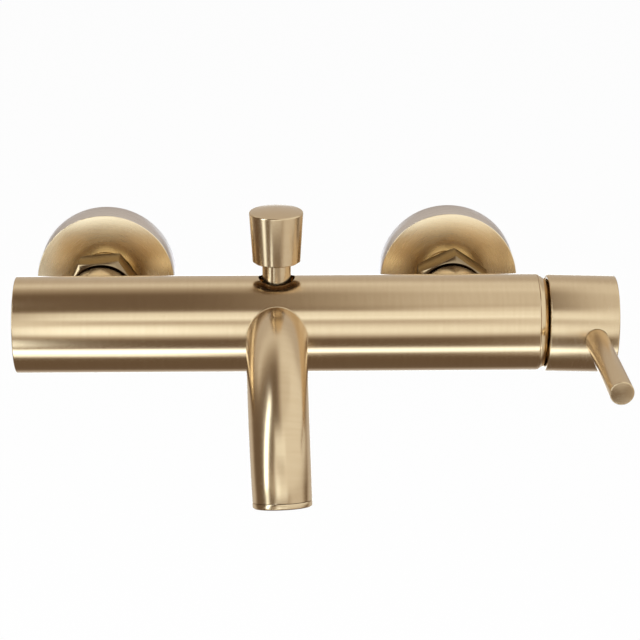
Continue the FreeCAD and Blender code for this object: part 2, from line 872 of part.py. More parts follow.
def diverter_stem():
    """Thick stem below the knob, rod through the bonnet and screw end for the valve."""
    groove_bottom = clip_top - clip_thickness
    groove_radius = rod_radius - clip_groove
    screw_bottom = valve_core_bottom - rod_screw_stand
    thread_radius = knob_thread_radius - thread_fit
    thread_top = knob_bottom + knob_thread_depth - knob_thread_spare
    return turned([
        (0, screw_bottom),
        (rod_screw_radius, screw_bottom),
        (rod_screw_radius, valve_core_top),
        (rod_radius, valve_core_top),
        (rod_radius, groove_bottom),
        (groove_radius, groove_bottom),
        (groove_radius, clip_top),
        (rod_radius, clip_top),
        (rod_radius, stem_bottom),
        (stem_radius, stem_bottom),
        (stem_radius, knob_bottom),
        (thread_radius, knob_bottom),
        (thread_radius, thread_top),
        (0, thread_top),
    ], tube_point(0, 0), Z)


def diverter_bonnet():
    """The screwed guide of the rod, with a groove for each O-ring and a slot for the driver."""
    bore = rod_radius + slide_fit / 2
    outer = diverter_bore_radius - thread_fit
    solid = ring(outer, bore, bonnet_length, tube_point(0, 0, bonnet_bottom), Z)
    half = bonnet_slot / 2
    slot = block(
        tube_point(-diverter_bore_radius, -half, bonnet_top - bonnet_slot_depth),
        tube_point(diverter_bore_radius, half, bonnet_top),
    )
    middle = tube_point(0, 0, bonnet_oring_level)
    return solid.cut([slot, groove(diverter_bore_radius, middle, Z), groove(bore + oring_section, middle, Z)])


def bonnet_oring():
    return oring(diverter_bore_radius, tube_point(0, 0, bonnet_oring_level), Z)


def stem_oring():
    return oring(rod_radius + slide_fit / 2 + oring_section, tube_point(0, 0, bonnet_oring_level), Z)


def diverter_spring():
    length = bonnet_bottom - clip_top
    return coil(spring_coil_radius, spring_wire_radius, spring_turns, length, tube_point(0, 0, clip_top), Z)


def spring_clip():
    """An E-shaped clip in the rod's groove."""
    bottom = clip_top - clip_thickness
    disc = ring(clip_radius, rod_radius - clip_groove, clip_thickness, tube_point(0, 0, bottom), Z)
    half = clip_mouth / 2
    mouth = block(tube_point(0, -half, bottom), tube_point(clip_radius, half, clip_top))
    return disc.cut(mouth)


def diverter_valve():
    return ring(valve_radius, rod_screw_radius, valve_core_thickness, tube_point(0, 0, valve_core_bottom), Z)


def diverter_seals():
    seals = []
    for level in (valve_bottom, valve_core_top):
        start = tube_point(0, 0, level)
        seals.append(ring(valve_radius, valve_seal_inner_radius, valve_seal_thickness, start, Z))
    return Part.makeCompound(seals)


# Shower outlet

def hose_outlet():
    """A nipple whose inner end is the lower valve seat and whose outer end takes the hose."""
    boss_end = tube_point(0, 0, outlet_boss_bottom)
    collar_end = tube_point(0, 0, outlet_collar_bottom)
    insert = rod(outlet_thread_radius - thread_fit, outlet_seat - outlet_boss_bottom, boss_end, Z)
    collar = hexagon(outlet_collar_across, outlet_collar, collar_end, Z)
    thread = rod(hose_thread_radius, hose_thread_length, collar_end, -Z)
    seat_bore = rod(seat_mouth_radius, outlet_seat - outlet_collar_bottom, collar_end, Z)
    hose_bore = rod(hose_bore_radius, hose_thread_length + outlet_collar, boss_end, -Z)
    ring_room = groove(outlet_thread_radius, tube_point(0, 0, outlet_oring_level), Z)
    return insert.fuse([collar, thread]).cut([seat_bore, hose_bore, ring_room])


def outlet_oring():
    return oring(outlet_thread_radius, tube_point(0, 0, outlet_oring_level), Z)


# Spout

def on_bend(angle):
    """A point of the spout's centre line, by the angle that the bend has turned, and the direction there."""
    r = spout_bend_radius
    point = tube_point(0, -body_radius - r * math.sin(angle), -r * (1 - math.cos(angle)))
    return point, FreeCAD.Vector(0, -math.cos(angle), -math.sin(angle))


def spout_tip():
    """End of the spout's centre line and its direction there."""
    point, direction = on_bend(math.radians(spout_bend_angle))
    return point + direction * spout_drop, direction


def spout_form(start):
    """The spout's tapered round form, lofted through circles along its centre line. It starts that far
    from the tube's axis."""
    bend = math.radians(spout_bend_angle)
    tip, tip_direction = spout_tip()
    stations = [(tube_point(0, -start), -Y, 0)]
    for i in range(spout_sections + 1):
        angle = bend * i / spout_sections
        point, direction = on_bend(angle)
        stations.append((point, direction, spout_bend_radius * angle))
    length = spout_bend_radius * bend + spout_drop - aerator_rim
    stations.append((tip - tip_direction * aerator_rim, tip_direction, length))
    circles = []
    for point, direction, along in stations:
        radius = spout_root_radius + (spout_tip_radius - spout_root_radius) * along / length
        circles.append(Part.Wire(Part.makeCircle(radius, point, direction)))
    return Part.makeLoft(circles, True)


def leaned(shape):
    """Turns a piece of the spout in its socket."""
    shape.rotate(tube_point(0, 0), Y, -spout_lean)
    return shape


def spout_hollow():
    """The water way round the bend, of one width, from the solid root and out past the tip."""
    first = spout_solid_root / spout_bend_radius
    bend = math.radians(spout_bend_angle)
    point, direction = on_bend(first)
    centre = tube_point(0, -body_radius, -spout_bend_radius)
    section = Part.Face(Part.Wire(Part.makeCircle(spout_bore_radius, point, direction)))
    arc = section.revolve(centre, X, math.degrees(bend - first))
    last, direction = on_bend(bend)
    return arc.fuse(rod(spout_bore_radius, spout_drop, last, direction))


def spout():
    """The bent tube, its end shaped to the body tube, with a spigot for the socket."""
    root = math.sqrt(body_radius ** 2 - spout_root_radius ** 2) - loose_fit
    saddle = rod(body_radius + seat_gap, body_length, tube_point(-half_length, 0), X)
    tube = leaned(spout_form(root)).cut(saddle)
    start = tube_point(0, -body_radius + spout_socket)
    spigot = rod(spigot_radius - thread_fit, spigot_length, start, -Y)
    bore = rod(spigot_bore_radius, spout_socket + spout_solid_root + fuse_depth, start, -Y)
    ring_room = groove(spigot_radius, spout_oring_place(), Y)
    return tube.fuse(spigot).cut([leaned(spout_hollow()), bore, ring_room])


def spout_oring_place():
    return tube_point(0, -body_radius + spout_socket - spout_oring_inset)


def spout_oring():
    return oring(spigot_radius, spout_oring_place(), Y)


def spout_lock_screw():
    top = -spigot_radius
    bottom = -math.sqrt(body_radius ** 2 - (lock_screw_front + lock_screw_radius) ** 2)
    start = tube_point(0, -lock_screw_front, bottom)
    screw = rod(lock_screw_radius, top - bottom, start, Z)
    key = hexagon(lock_screw_key_across, lock_screw_key_depth, start, Z)
    return screw.cut(key)


def aerator_housing():
    tip, direction = spout_tip()
    e = aerator_edge
    top = aerator_rim + aerator_thread_length
    housing = turned([
        (aerator_bore, 0),
        (spout_tip_radius - e, 0),
        (spout_tip_radius, e),
        (spout_tip_radius, aerator_rim - seat_gap),
        (aerator_thread, aerator_rim - seat_gap),
        (aerator_thread, top),
        (aerator_bore, top),
    ], tip, -direction)
    return leaned(housing)


def aerator_insert():
    """The plastic jet plate with rings of small holes."""
    tip, direction = spout_tip()
    height = aerator_rim + aerator_thread_length - aerator_recess
    hollow = rod(aerator_bore - aerator_cup_wall, height, Z * aerator_plate, Z)
    cup = rod(aerator_bore, height, ORIGIN, Z).cut(hollow)
    holes = [rod(aerator_hole_radius, aerator_plate, ORIGIN, Z)]
    for row in range(1, aerator_rows + 1):
        for i in range(6 * row):
            angle = math.radians(60 * i / row)
            spot = FreeCAD.Vector(math.cos(angle), math.sin(angle), 0) * row * aerator_hole_pitch
            holes.append(rod(aerator_hole_radius, aerator_plate, spot, Z))
    return leaned(placed(cup.cut(holes), tip - direction * aerator_recess, -direction))


def aerator_washer():
    tip, direction = spout_tip()
    start = tip - direction * (aerator_rim + aerator_thread_length)
    inner = aerator_thread - aerator_washer_width
    return leaned(ring(aerator_thread, inner, aerator_washer_thickness, start, -direction))


pieces = {
    "body": body(),
    "end_plug": end_plug(),
    "end_plug_oring": end_plug_oring(),
    "cartridge_seals": cartridge_seals(),
    "cartridge_base": cartridge_base(),
    "fixed_disc": fixed_disc(),
    "moving_disc": moving_disc(),
    "disc_carrier": disc_carrier(),
    "cartridge_rotor": cartridge_rotor(),
    "pivot_pin": pivot_pin(),
    "spindle": spindle(),
    "cartridge_housing": cartridge_housing(),
    "clamping_nut": clamping_nut(),
    "dome_ring": dome_ring(),
    "handle_cap": handle_cap(),
    "handle_lever": handle_lever(),
    "handle_grub_screw": handle_grub_screw(),
    "diverter_knob": diverter_knob(),
    "diverter_stem": diverter_stem(),
    "diverter_bonnet": diverter_bonnet(),
    "bonnet_oring": bonnet_oring(),
    "stem_oring": stem_oring(),
    "diverter_spring": diverter_spring(),
    "spring_clip": spring_clip(),
    "diverter_valve": diverter_valve(),
    "diverter_seals": diverter_seals(),
    "hose_outlet": hose_outlet(),
    "outlet_oring": outlet_oring(),
    "spout": spout(),
    "spout_oring": spout_oring(),
    "spout_lock_screw": spout_lock_screw(),
    "aerator_housing": aerator_housing(),
    "aerator_insert": aerator_insert(),
    "aerator_washer": aerator_washer(),
}

nut_turns = {"left": nut_turn_left, "right": nut_turn_right}
for name, side in sides.items():
    inlet_x = side * inlet_spacing / 2
    pieces["escutcheon_" + name] = escutcheon(inlet_x)
    pieces["wall_union_" + name] = wall_union(inlet_x)
    pieces["union_nut_" + name] = union_nut(inlet_x, nut_turns[name])
    pieces["union_washer_" + name] = union_washer(inlet_x)
    pieces["inlet_strainer_" + name] = inlet_strainer(inlet_x)
    pieces["inlet_tail_" + name] = inlet_tail(inlet_x)
    pieces["check_cage_" + name] = check_cage(inlet_x)
    pieces["check_poppet_" + name] = check_poppet(inlet_x)
    pieces["check_spring_" + name] = check_spring(inlet_x)

os.makedirs("parts", exist_ok=True)
for node, shape in pieces.items():
    shape.exportStep("parts/" + node + ".step")
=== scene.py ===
# %% [markdown]
# # A bath mixer in brushed gold
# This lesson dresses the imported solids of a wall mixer. The solids bring every size and every joint,
# so nothing is fitted here: each piece is modelled where the solid stands, with the rounded edges,
# the threads and the finish that plain solids lack. It goes from the tools, through the finishes, to
# the pieces, and ends with the light and the camera.

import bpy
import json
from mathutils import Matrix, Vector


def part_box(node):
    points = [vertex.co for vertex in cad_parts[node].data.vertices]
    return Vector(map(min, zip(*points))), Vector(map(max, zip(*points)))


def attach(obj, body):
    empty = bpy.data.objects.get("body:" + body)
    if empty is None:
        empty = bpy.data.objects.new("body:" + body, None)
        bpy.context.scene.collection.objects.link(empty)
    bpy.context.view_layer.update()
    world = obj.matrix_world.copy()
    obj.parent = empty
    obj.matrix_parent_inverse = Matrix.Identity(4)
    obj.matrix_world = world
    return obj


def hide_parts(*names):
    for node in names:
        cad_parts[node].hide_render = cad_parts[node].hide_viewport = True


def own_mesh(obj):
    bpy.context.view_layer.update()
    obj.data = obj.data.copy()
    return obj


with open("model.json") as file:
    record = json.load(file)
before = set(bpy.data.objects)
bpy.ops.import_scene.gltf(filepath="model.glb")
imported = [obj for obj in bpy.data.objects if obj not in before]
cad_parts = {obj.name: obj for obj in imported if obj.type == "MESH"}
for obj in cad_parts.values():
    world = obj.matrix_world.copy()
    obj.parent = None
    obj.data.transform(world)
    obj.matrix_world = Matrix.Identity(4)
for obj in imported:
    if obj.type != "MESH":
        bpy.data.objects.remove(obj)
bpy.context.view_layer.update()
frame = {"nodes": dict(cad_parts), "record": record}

# %% [markdown]
# ## Directions and places
# Three measures are shared by most pieces: the tube's axis stands 72 mm in front of the wall, the tube is
# 40 mm thick, and the two inlets stand 150 mm apart, as the pipes in the wall do. The mixer's sizes are
# in millimetres, as on a drawing, and MM brings them to Blender's metres.

# %% Units, directions and places
import json
import math

import bpy
from mathutils import Matrix, Vector

MM = 0.001
X = Vector((1, 0, 0))
Y = Vector((0, 1, 0))
Z = Vector((0, 0, 1))
TUBE = Vector((0, -72, 0))
TUBE_RADIUS = 20.0
INLETS = {"left": -75.0, "right": 75.0}
made = []
print("inlets", INLETS["right"] - INLETS["left"], "mm apart, tube", -TUBE.y, "mm from the wall")

# %% [markdown]
# ## Tools for turned pieces
# Nearly every piece of a mixer comes off a lathe. A lathe part could be drawn as an outline and spun,
# but here a circle is extruded ring by ring, which keeps each ring's radius and height in one short
# list, as on a turner's drawing. A bevel modifier then breaks the sharp edges, as the turner's file does.

# %% Selecting and filling


def nothing_selected():
    """Leaves edit mode and deselects all objects."""
    if bpy.context.object and bpy.context.object.mode != "OBJECT":
        bpy.ops.object.mode_set(mode="OBJECT")
    bpy.ops.object.select_all(action="DESELECT")


def only(piece):
    """Selects this piece alone."""
    nothing_selected()
    piece.select_set(True)
    bpy.context.view_layer.objects.active = piece


def edited(piece, *steps):
    """Runs operators on the whole piece in edit mode."""
    only(piece)
    bpy.ops.object.mode_set(mode="EDIT")
    bpy.ops.mesh.select_all(action="SELECT")
    for step in steps:
        step()
    bpy.ops.object.mode_set(mode="OBJECT")


def outward(piece):
    """Turns the faces of a closed piece outwards."""
    edited(piece, lambda: bpy.ops.mesh.normals_make_consistent(inside=False))


def open_edges():
    """Selects the edges round the holes of the piece in edit mode."""
    bpy.ops.mesh.select_all(action="DESELECT")
    bpy.ops.mesh.select_non_manifold()


def close_holes():
    """Fills the holes of the piece in edit mode."""
    open_edges()
    bpy.ops.mesh.fill_holes(sides=0)


def lift(height):
    """Moves what is selected in edit mode up, by this many mm."""
    bpy.ops.transform.translate(value=(0, 0, height * MM))


print("tools for selecting ready")

# %% Turning and rounding


def turned(name, rings, hollow=False, segments=128):
    """A piece from rings of (radius, height), on the Z axis.

    A hollow one joins its last ring to its first.
    """
    nothing_selected()
    bpy.ops.mesh.primitive_circle_add(vertices=segments, radius=rings[0][0] * MM)
    piece = bpy.context.object
    piece.name = name
    bpy.ops.object.mode_set(mode="EDIT")
    bpy.ops.mesh.select_all(action="SELECT")
    lift(rings[0][1])
    for (radius, height), (next_radius, next_height) in zip(rings, rings[1:]):
        bpy.ops.mesh.extrude_region_move(
            TRANSFORM_OT_translate={"value": (0, 0, (next_height - height) * MM)})
        share = next_radius / radius
        bpy.ops.transform.resize(value=(share, share, 1), center_override=(0, 0, next_height * MM))
    if hollow:
        open_edges()
        bpy.ops.mesh.bridge_edge_loops()
    else:
        close_holes()
    bpy.ops.object.mode_set(mode="OBJECT")
    outward(piece)
    return piece


def applied(piece, kind, **settings):
    """Adds a modifier with these settings and applies it."""
    only(piece)
    modifier = piece.modifiers.new(kind.lower(), kind)
    for name, value in settings.items():
        setattr(modifier, name, value)
    bpy.ops.object.modifier_apply(modifier=modifier.name)
    return piece


def rounded(piece, width, segments=3, angle=30):
    """Rounds the edges that turn by more than the angle."""
    return applied(piece, "BEVEL", width=width * MM, segments=segments, limit_method="ANGLE",
                   angle_limit=math.radians(angle), harden_normals=False)


print("tools for turning ready")

# %% Placing, cutting and joining


def placed(piece, start, direction=Z):
    """Stands a piece that was modelled on the Z axis on its start, in mm, along its direction."""
    only(piece)
    piece.rotation_mode = "QUATERNION"
    piece.rotation_quaternion = Z.rotation_difference(direction)
    piece.location = Vector(start) * MM
    bpy.ops.object.transform_apply(location=True, rotation=True, scale=True)
    return piece


def swung(piece, centre, axis, degrees):
    """Turns a piece about a line, by the right-hand rule, and writes the turn into its mesh."""
    centre = Vector(centre) * MM
    turn = Matrix.Rotation(math.radians(degrees), 4, axis)
    only(piece)
    piece.matrix_world = Matrix.Translation(centre) @ turn @ Matrix.Translation(-centre)
    bpy.ops.object.transform_apply(location=True, rotation=True, scale=True)
    return piece


def cut(piece, *tools, operation="DIFFERENCE"):
    """Takes the tools out of the piece, or adds them, or keeps what they share, and deletes them."""
    for tool in tools:
        applied(piece, "BOOLEAN", object=tool, operation=operation, solver="EXACT")
        bpy.data.objects.remove(tool)
    return piece


def joined(piece, *others):
    """One object from several closed shapes."""
    only(piece)
    for other in others:
        other.select_set(True)
    bpy.ops.object.join()
    return piece


def copied(piece, name):
    """A copy with its own mesh."""
    twin = piece.copy()
    twin.data = piece.data.copy()
    twin.name = name
    bpy.context.scene.collection.objects.link(twin)
    return twin


def finished(piece, material, slot, body, *nodes, angle=30):
    """Shades a piece, gives it its finish, parents it to what it moves with, and hides the solids it
    stands for.
    """
    only(piece)
    bpy.ops.object.shade_smooth_by_angle(angle=math.radians(angle))
    piece.data.materials.clear()
    piece.data.materials.append(material)
    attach(piece, body)
    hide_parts(*nodes)
    made.append(piece.name)
    print(piece.name, len(piece.data.polygons), "faces")
    return piece


print("tools for placing ready")

# %% [markdown]
# ## The lines that a brush leaves
# A brushed coating shows fine lines that run round each turned piece, because it was held against an
# abrasive belt while it turned. A picture could be wrapped round the piece, but noise that is stretched
# along the lines needs no picture and never shows a seam. It is a node group with two places as inputs,
# one across the lines, which changes fast, and one along them, so every finish can share it.

# %% Helpers for nodes


def new_group(name, inputs, outputs):
    """An empty shader group with its sockets, its input node and its output node."""
    group = bpy.data.node_groups.new(name, "ShaderNodeTree")
    for socket, kind, value in inputs:
        made_socket = group.interface.new_socket(socket, in_out="INPUT", socket_type="NodeSocket" + kind)
        made_socket.default_value = value
    for socket, kind in outputs:
        group.interface.new_socket(socket, in_out="OUTPUT", socket_type="NodeSocket" + kind)
    return group, group.nodes.new("NodeGroupInput"), group.nodes.new("NodeGroupOutput")


def node(tree, kind, label="", values=None, **settings):
    """Adds a node. The values go to its sockets by name, and the settings are its properties."""
    added = tree.nodes.new("ShaderNode" + kind)
    added.label = label
    for name, value in settings.items():
        setattr(added, name, value)
    for socket, value in (values or {}).items():
        added.inputs[socket].default_value = value
    return added


def math_node(tree, operation, first, second=None):
    """The output of a math node whose operands are sockets or numbers."""
    added = node(tree, "Math", operation=operation)
    for socket, operand in zip(added.inputs, (first, second)):
        if isinstance(operand, (int, float)):
            socket.default_value = operand
        elif operand is not None:
            tree.links.new(operand, socket)
    return added.outputs[0]


print("helpers for nodes ready")

# %% Group for brush lines
LINES_PER_METRE = 7000.0
BANDS = (0.12, 0.5, 1.0)
lines_group, source, result = new_group(
    "brush_lines",
    [("Across", "Float", 0.0), ("Along", "Float", 0.0), ("Lines", "Float", LINES_PER_METRE)],
    [("Fine", "Float"), ("Soft", "Float")])
across = math_node(lines_group, "MULTIPLY", source.outputs["Across"], source.outputs["Lines"])
fine_place = node(lines_group, "CombineXYZ")
lines_group.links.new(across, fine_place.inputs[0])
lines_group.links.new(source.outputs["Along"], fine_place.inputs[1])
fine = node(lines_group, "TexNoise", "single lines", noise_dimensions="2D",
            values={"Scale": 1.0, "Detail": 3.0, "Roughness": 0.65})
lines_group.links.new(fine_place.outputs[0], fine.inputs["Vector"])
soft_place = node(lines_group, "VectorMath", "wider bands of lines", operation="MULTIPLY",
                  values={1: BANDS})
lines_group.links.new(fine_place.outputs[0], soft_place.inputs[0])
soft = node(lines_group, "TexNoise", "bands", noise_dimensions="2D", values={"Scale": 1.0, "Detail": 2.0})
lines_group.links.new(soft_place.outputs[0], soft.inputs["Vector"])
lines_group.links.new(fine.outputs[0], result.inputs["Fine"])
lines_group.links.new(soft.outputs[0], result.inputs["Soft"])
print("group", lines_group.name, "with", len(lines_group.nodes), "nodes")

# %% [markdown]
# ## The gold finish
# The coating is a hard gold-bronze film on polished brass, brushed to a satin. It is a metal all over,
# so its colour comes from Base Color with Metallic at 1, and the lines only move its roughness and tilt
# its surface a little. Real brush lines also smear each reflection across them, which Anisotropic does
# once Tangent says which way the lines run. A rougher metal would blur all ways alike and look cast.

# %% Colour, roughness and relief of the gold
GOLD = (0.735, 0.560, 0.345, 1.0)
GOLD_SHADE = (0.690, 0.515, 0.305, 1.0)
ROUGHNESS_PLAY = 0.03
LINE_DEPTH = 0.02 * MM


def finish_gold(tree, across_lines, along_lines, roughness, relief, colours=(GOLD, GOLD_SHADE)):
    """Colour, roughness and relief of brushed gold, from the two places across and along its lines."""
    shader = tree.nodes["Principled BSDF"]
    brush = node(tree, "Group", node_tree=lines_group)
    tree.links.new(across_lines, brush.inputs["Across"])
    tree.links.new(along_lines, brush.inputs["Along"])
    tint = node(tree, "Mix", "gold and its shade", data_type="RGBA",
                values={6: colours[1], 7: colours[0]})
    tree.links.new(brush.outputs["Soft"], tint.inputs[0])
    tree.links.new(tint.outputs[2], shader.inputs["Base Color"])
    rough = node(tree, "MapRange", "roughness",
                 values={"To Min": roughness - ROUGHNESS_PLAY, "To Max": roughness + ROUGHNESS_PLAY})
    tree.links.new(brush.outputs["Fine"], rough.inputs["Value"])
    tree.links.new(rough.outputs[0], shader.inputs["Roughness"])
    bump = node(tree, "Bump", "brush relief", values={"Strength": relief, "Distance": LINE_DEPTH})
    tree.links.new(brush.outputs["Fine"], bump.inputs["Height"])
    tree.links.new(bump.outputs[0], shader.inputs["Normal"])
    shader.inputs["Metallic"].default_value = 1.0


def lay_lines(tree, centre, axis, spread, rotation=0.25):
    """Tells the shader that the lines run round this axis, and how far light spreads across them."""
    shader = tree.nodes["Principled BSDF"]
    shader.inputs["Anisotropic"].default_value = spread
    shader.inputs["Anisotropic Rotation"].default_value = rotation
    place = node(tree, "TexCoord")
    arm = node(tree, "VectorMath", "from the axis", operation="SUBTRACT", values={1: Vector(centre) * MM})
    round_axis = node(tree, "VectorMath", "round the axis", operation="CROSS_PRODUCT", values={0: axis})
    turned_with_piece = node(tree, "VectorTransform", vector_type="VECTOR", convert_from="OBJECT",
                             convert_to="WORLD")
    unit = node(tree, "VectorMath", operation="NORMALIZE")
    tree.links.new(place.outputs["Object"], arm.inputs[0])
    tree.links.new(arm.outputs[0], round_axis.inputs[1])
    tree.links.new(round_axis.outputs[0], turned_with_piece.inputs[0])
    tree.links.new(turned_with_piece.outputs[0], unit.inputs[0])
    tree.links.new(unit.outputs[0], shader.inputs["Tangent"])


print("gold", GOLD[:3], "and its shade", GOLD_SHADE[:3])

# %% [markdown]
# ## Gold for each axis
# Each piece was turned about its own axis, so the same finish is made once for each axis, with a Mapping
# node that brings that axis to Z. The place across the lines is then the distance from the axis plus the
# height, and the place along them is the angle. The tube and the nuts have the finest brushing and the
# wall flanges the coarsest. The nuts, which stand in the shade between wall and tube, get a darker gold,
# a painted shade, and the wall flanges a brighter gold, painted light.

# %% Gold that was brushed round an axis
ALONG_PER_RADIAN = 3.0


def brushed_gold(name, axis, centre, turn=(0, 0, 0), roughness=0.22, relief=0.05, spread=0.4,
                 colours=(GOLD, GOLD_SHADE)):
    """Gold whose brush lines run round the Z axis of its Mapping node."""
    material = bpy.data.materials.new(name)
    material.use_nodes = True
    tree = material.node_tree
    place = node(tree, "TexCoord")
    mapping = node(tree, "Mapping", "axis of the lathe", vector_type="TEXTURE",
                   values={"Location": Vector(centre) * MM, "Rotation": [math.radians(a) for a in turn]})
    parts = node(tree, "SeparateXYZ")
    tree.links.new(place.outputs["Object"], mapping.inputs["Vector"])
    tree.links.new(mapping.outputs[0], parts.inputs[0])
    x_squared = math_node(tree, "MULTIPLY", parts.outputs[0], parts.outputs[0])
    y_squared = math_node(tree, "MULTIPLY", parts.outputs[1], parts.outputs[1])
    radius = math_node(tree, "SQRT", math_node(tree, "ADD", x_squared, y_squared))
    across_lines = math_node(tree, "ADD", radius, parts.outputs[2])
    angle = math_node(tree, "ARCTAN2", parts.outputs[1], parts.outputs[0])
    along_lines = math_node(tree, "MULTIPLY", angle, ALONG_PER_RADIAN)
    finish_gold(tree, across_lines, along_lines, roughness, relief, colours)
    lay_lines(tree, centre, axis, spread)
    return material


# The flanges' brighter gold is painted light, and the nuts' darker gold is a painted shade.
FLANGE_GOLD_PAINTED_LIGHT = ((0.98, 0.81, 0.54, 1), (0.93, 0.75, 0.48, 1))
NUT_GOLD_PAINTED_SHADE = ((0.33, 0.235, 0.13, 1), (0.29, 0.20, 0.11, 1))
gold_x = brushed_gold("gold_round_the_tube", X, TUBE, turn=(0, 90, 0), roughness=0.17, relief=0.02,
                      spread=0.0)
gold_z = brushed_gold("gold_round_the_knob", Z, TUBE)
gold_wall = {side: brushed_gold("gold_round_the_inlet_" + side, Y, (x, 0, 0), turn=(-90, 0, 0),
                                roughness=0.28, spread=0.5, colours=FLANGE_GOLD_PAINTED_LIGHT)
             for side, x in INLETS.items()}
gold_nut = {side: brushed_gold("gold_of_the_nut_" + side, Y, (x, 0, 0), turn=(-90, 0, 0),
                               roughness=0.15, relief=0.02, spread=0.2, colours=NUT_GOLD_PAINTED_SHADE)
            for side, x in INLETS.items()}
golds = (gold_x, gold_z, *gold_wall.values(), *gold_nut.values())
print("gold materials", [material.name for material in golds])

# %% [markdown]
# ## Faces with a painted reflection and painted shade
# Some faces differ from the rest of their piece: the rims of the wall flanges are painted a greyer gold,
# a painted reflection of the grey they show edge on, and the nuts' front faces, which lie in the dark
# behind the tube, are painted near black, a painted shade. A second material would need these faces to be
# picked by hand, but each looks one way, so a mask from the face's own normal finds them. Metal also
# turns pale where it is seen edge on, and Specular Tint holds that back on both.

# %% Colour by the way a face looks
FLANGE_EDGE_TINT = (0.82, 0.80, 0.80, 1)
NUT_EDGE_TINT = (0.56, 0.52, 0.46, 1)
# The rims' greyer gold is a painted reflection, and the nuts' near-black fronts are a painted shade.
RIM_PAINTED_REFLECTION = (0.80, 0.71, 0.62, 1)
NUT_FRONT_PAINTED_SHADE = (0.05, 0.03, 0.015, 1)
ACROSS = (-0.5, 0.5)
FROM_WALL = (-1.1, -0.95)


def recoloured(material, axis, least, most, colour):
    """Another colour on the faces whose normal, along this axis, lies between least and most."""
    tree = material.node_tree
    shader = tree.nodes["Principled BSDF"]
    facing = node(tree, "SeparateXYZ", "which way a face looks")
    tree.links.new(node(tree, "TexCoord").outputs["Normal"], facing.inputs[0])
    above = math_node(tree, "GREATER_THAN", facing.outputs[axis], least)
    below = math_node(tree, "LESS_THAN", facing.outputs[axis], most)
    other = node(tree, "Mix", "colour of these faces", data_type="RGBA", values={7: colour})
    tree.links.new(math_node(tree, "MULTIPLY", above, below), other.inputs[0])
    tree.links.new(shader.inputs["Base Color"].links[0].from_socket, other.inputs[6])
    tree.links.new(other.outputs[2], shader.inputs["Base Color"])


# Painted reflection on the flanges' rims and painted shade on the nuts' fronts.
for side in INLETS:
    recoloured(gold_wall[side], "Y", *ACROSS, RIM_PAINTED_REFLECTION)
    recoloured(gold_nut[side], "Y", *FROM_WALL, NUT_FRONT_PAINTED_SHADE)
    for material, tint in ((gold_wall[side], FLANGE_EDGE_TINT), (gold_nut[side], NUT_EDGE_TINT)):
        material.node_tree.nodes["Principled BSDF"].inputs["Specular Tint"].default_value = tint
print("recoloured the rims and the nuts' fronts at", len(INLETS), "inlets")

# %% [markdown]
# ## Rubber, plastic, ceramic, plain brass and steel
# The pieces inside keep their solids, and each gets the finish of what it is made of: seals are matt
# black rubber, the moving parts of the cartridge are moulded, the discs are lapped ceramic and the
# threads are plain machined brass. One flat colour each would do in the dark, but a little noise in
# colour and roughness keeps them from looking like paint. The inlet tails show as a dark line between
# nut and leg, so their brass is painted dark, a painted shade of that gap.

# %% Materials of the inner pieces
GRAIN_PLAY = 0.04
GRAIN_DEPTH = 0.05 * MM


def plain_finish(name, colour, shade, metallic, roughness, grain, relief):
    """A solid colour that drifts to its shade, with so many grains a metre in its surface."""
    material = bpy.data.materials.new(name)
    material.use_nodes = True
    tree = material.node_tree
    shader = tree.nodes["Principled BSDF"]
    place = node(tree, "TexCoord")
    noise = node(tree, "TexNoise", "grain", values={"Scale": grain, "Detail": 4.0})
    tree.links.new(place.outputs["Object"], noise.inputs["Vector"])
    tint = node(tree, "Mix", "colour and shade", data_type="RGBA",
                values={6: (*shade, 1), 7: (*colour, 1)})
    tree.links.new(noise.outputs[0], tint.inputs[0])
    tree.links.new(tint.outputs[2], shader.inputs["Base Color"])
    rough = node(tree, "MapRange",
                 values={"To Min": roughness - GRAIN_PLAY, "To Max": roughness + GRAIN_PLAY})
    tree.links.new(noise.outputs[0], rough.inputs["Value"])
    tree.links.new(rough.outputs[0], shader.inputs["Roughness"])
    bump = node(tree, "Bump", values={"Strength": relief, "Distance": GRAIN_DEPTH})
    tree.links.new(noise.outputs[0], bump.inputs["Height"])
    tree.links.new(bump.outputs[0], shader.inputs["Normal"])
    shader.inputs["Metallic"].default_value = metallic
    return material


# Colour, shade, metallic, roughness, grain and relief of each.
INNER_FINISHES = {
    "plain_brass": ((0.80, 0.62, 0.34), (0.70, 0.52, 0.27), 1.0, 0.28, 900, 0.03),
    "black_rubber": ((0.03, 0.03, 0.03), (0.02, 0.02, 0.02), 0.0, 0.7, 1800, 0.2),
    "fibre_washer": ((0.45, 0.12, 0.08), (0.33, 0.08, 0.05), 0.0, 0.8, 2500, 0.3),
    "ceramic": ((0.92, 0.92, 0.90), (0.86, 0.86, 0.84), 0.0, 0.15, 3000, 0.02),
    "moulded_plastic": ((0.80, 0.80, 0.78), (0.74, 0.74, 0.72), 0.0, 0.45, 2200, 0.1),
    "stainless": ((0.62, 0.61, 0.59), (0.52, 0.51, 0.50), 1.0, 0.3, 1500, 0.1),
    # The inlet tails' dark brass is a painted shade of the gap between nut and leg.
    "brass_with_painted_shade": ((0.20, 0.13, 0.07), (0.12, 0.08, 0.04), 1.0, 0.55, 900, 0.2),
}
inner_finishes = {name: plain_finish(name, *values) for name, values in INNER_FINISHES.items()}
for part in frame["record"]["subparts"]:
    cad_node = frame["nodes"][part["node"]]
    cad_node.data.materials.clear()
    cad_node.data.materials.append(inner_finishes.get(part["material_slot"], gold_x))
# Painted shade: the inlet tails, deep in the gap, get the dark brass.
for side in INLETS:
    frame["nodes"]["inlet_tail_" + side].data.materials[0] = inner_finishes["brass_with_painted_shade"]
print("finishes", sorted(inner_finishes))

# %% [markdown]
# ## Escutcheons
# Each wall flange is a deep drawn cup that slides over the union and hides the hole in the tiles. A
# cylinder with a Solidify modifier would give it one wall all over, but its front is thicker than its
# rim, so it is turned as one hollow ring: from the hole over the face, round the rim and back inside. The
# edge at the face is only just eased, because the cup is pressed from sheet and then brushed.

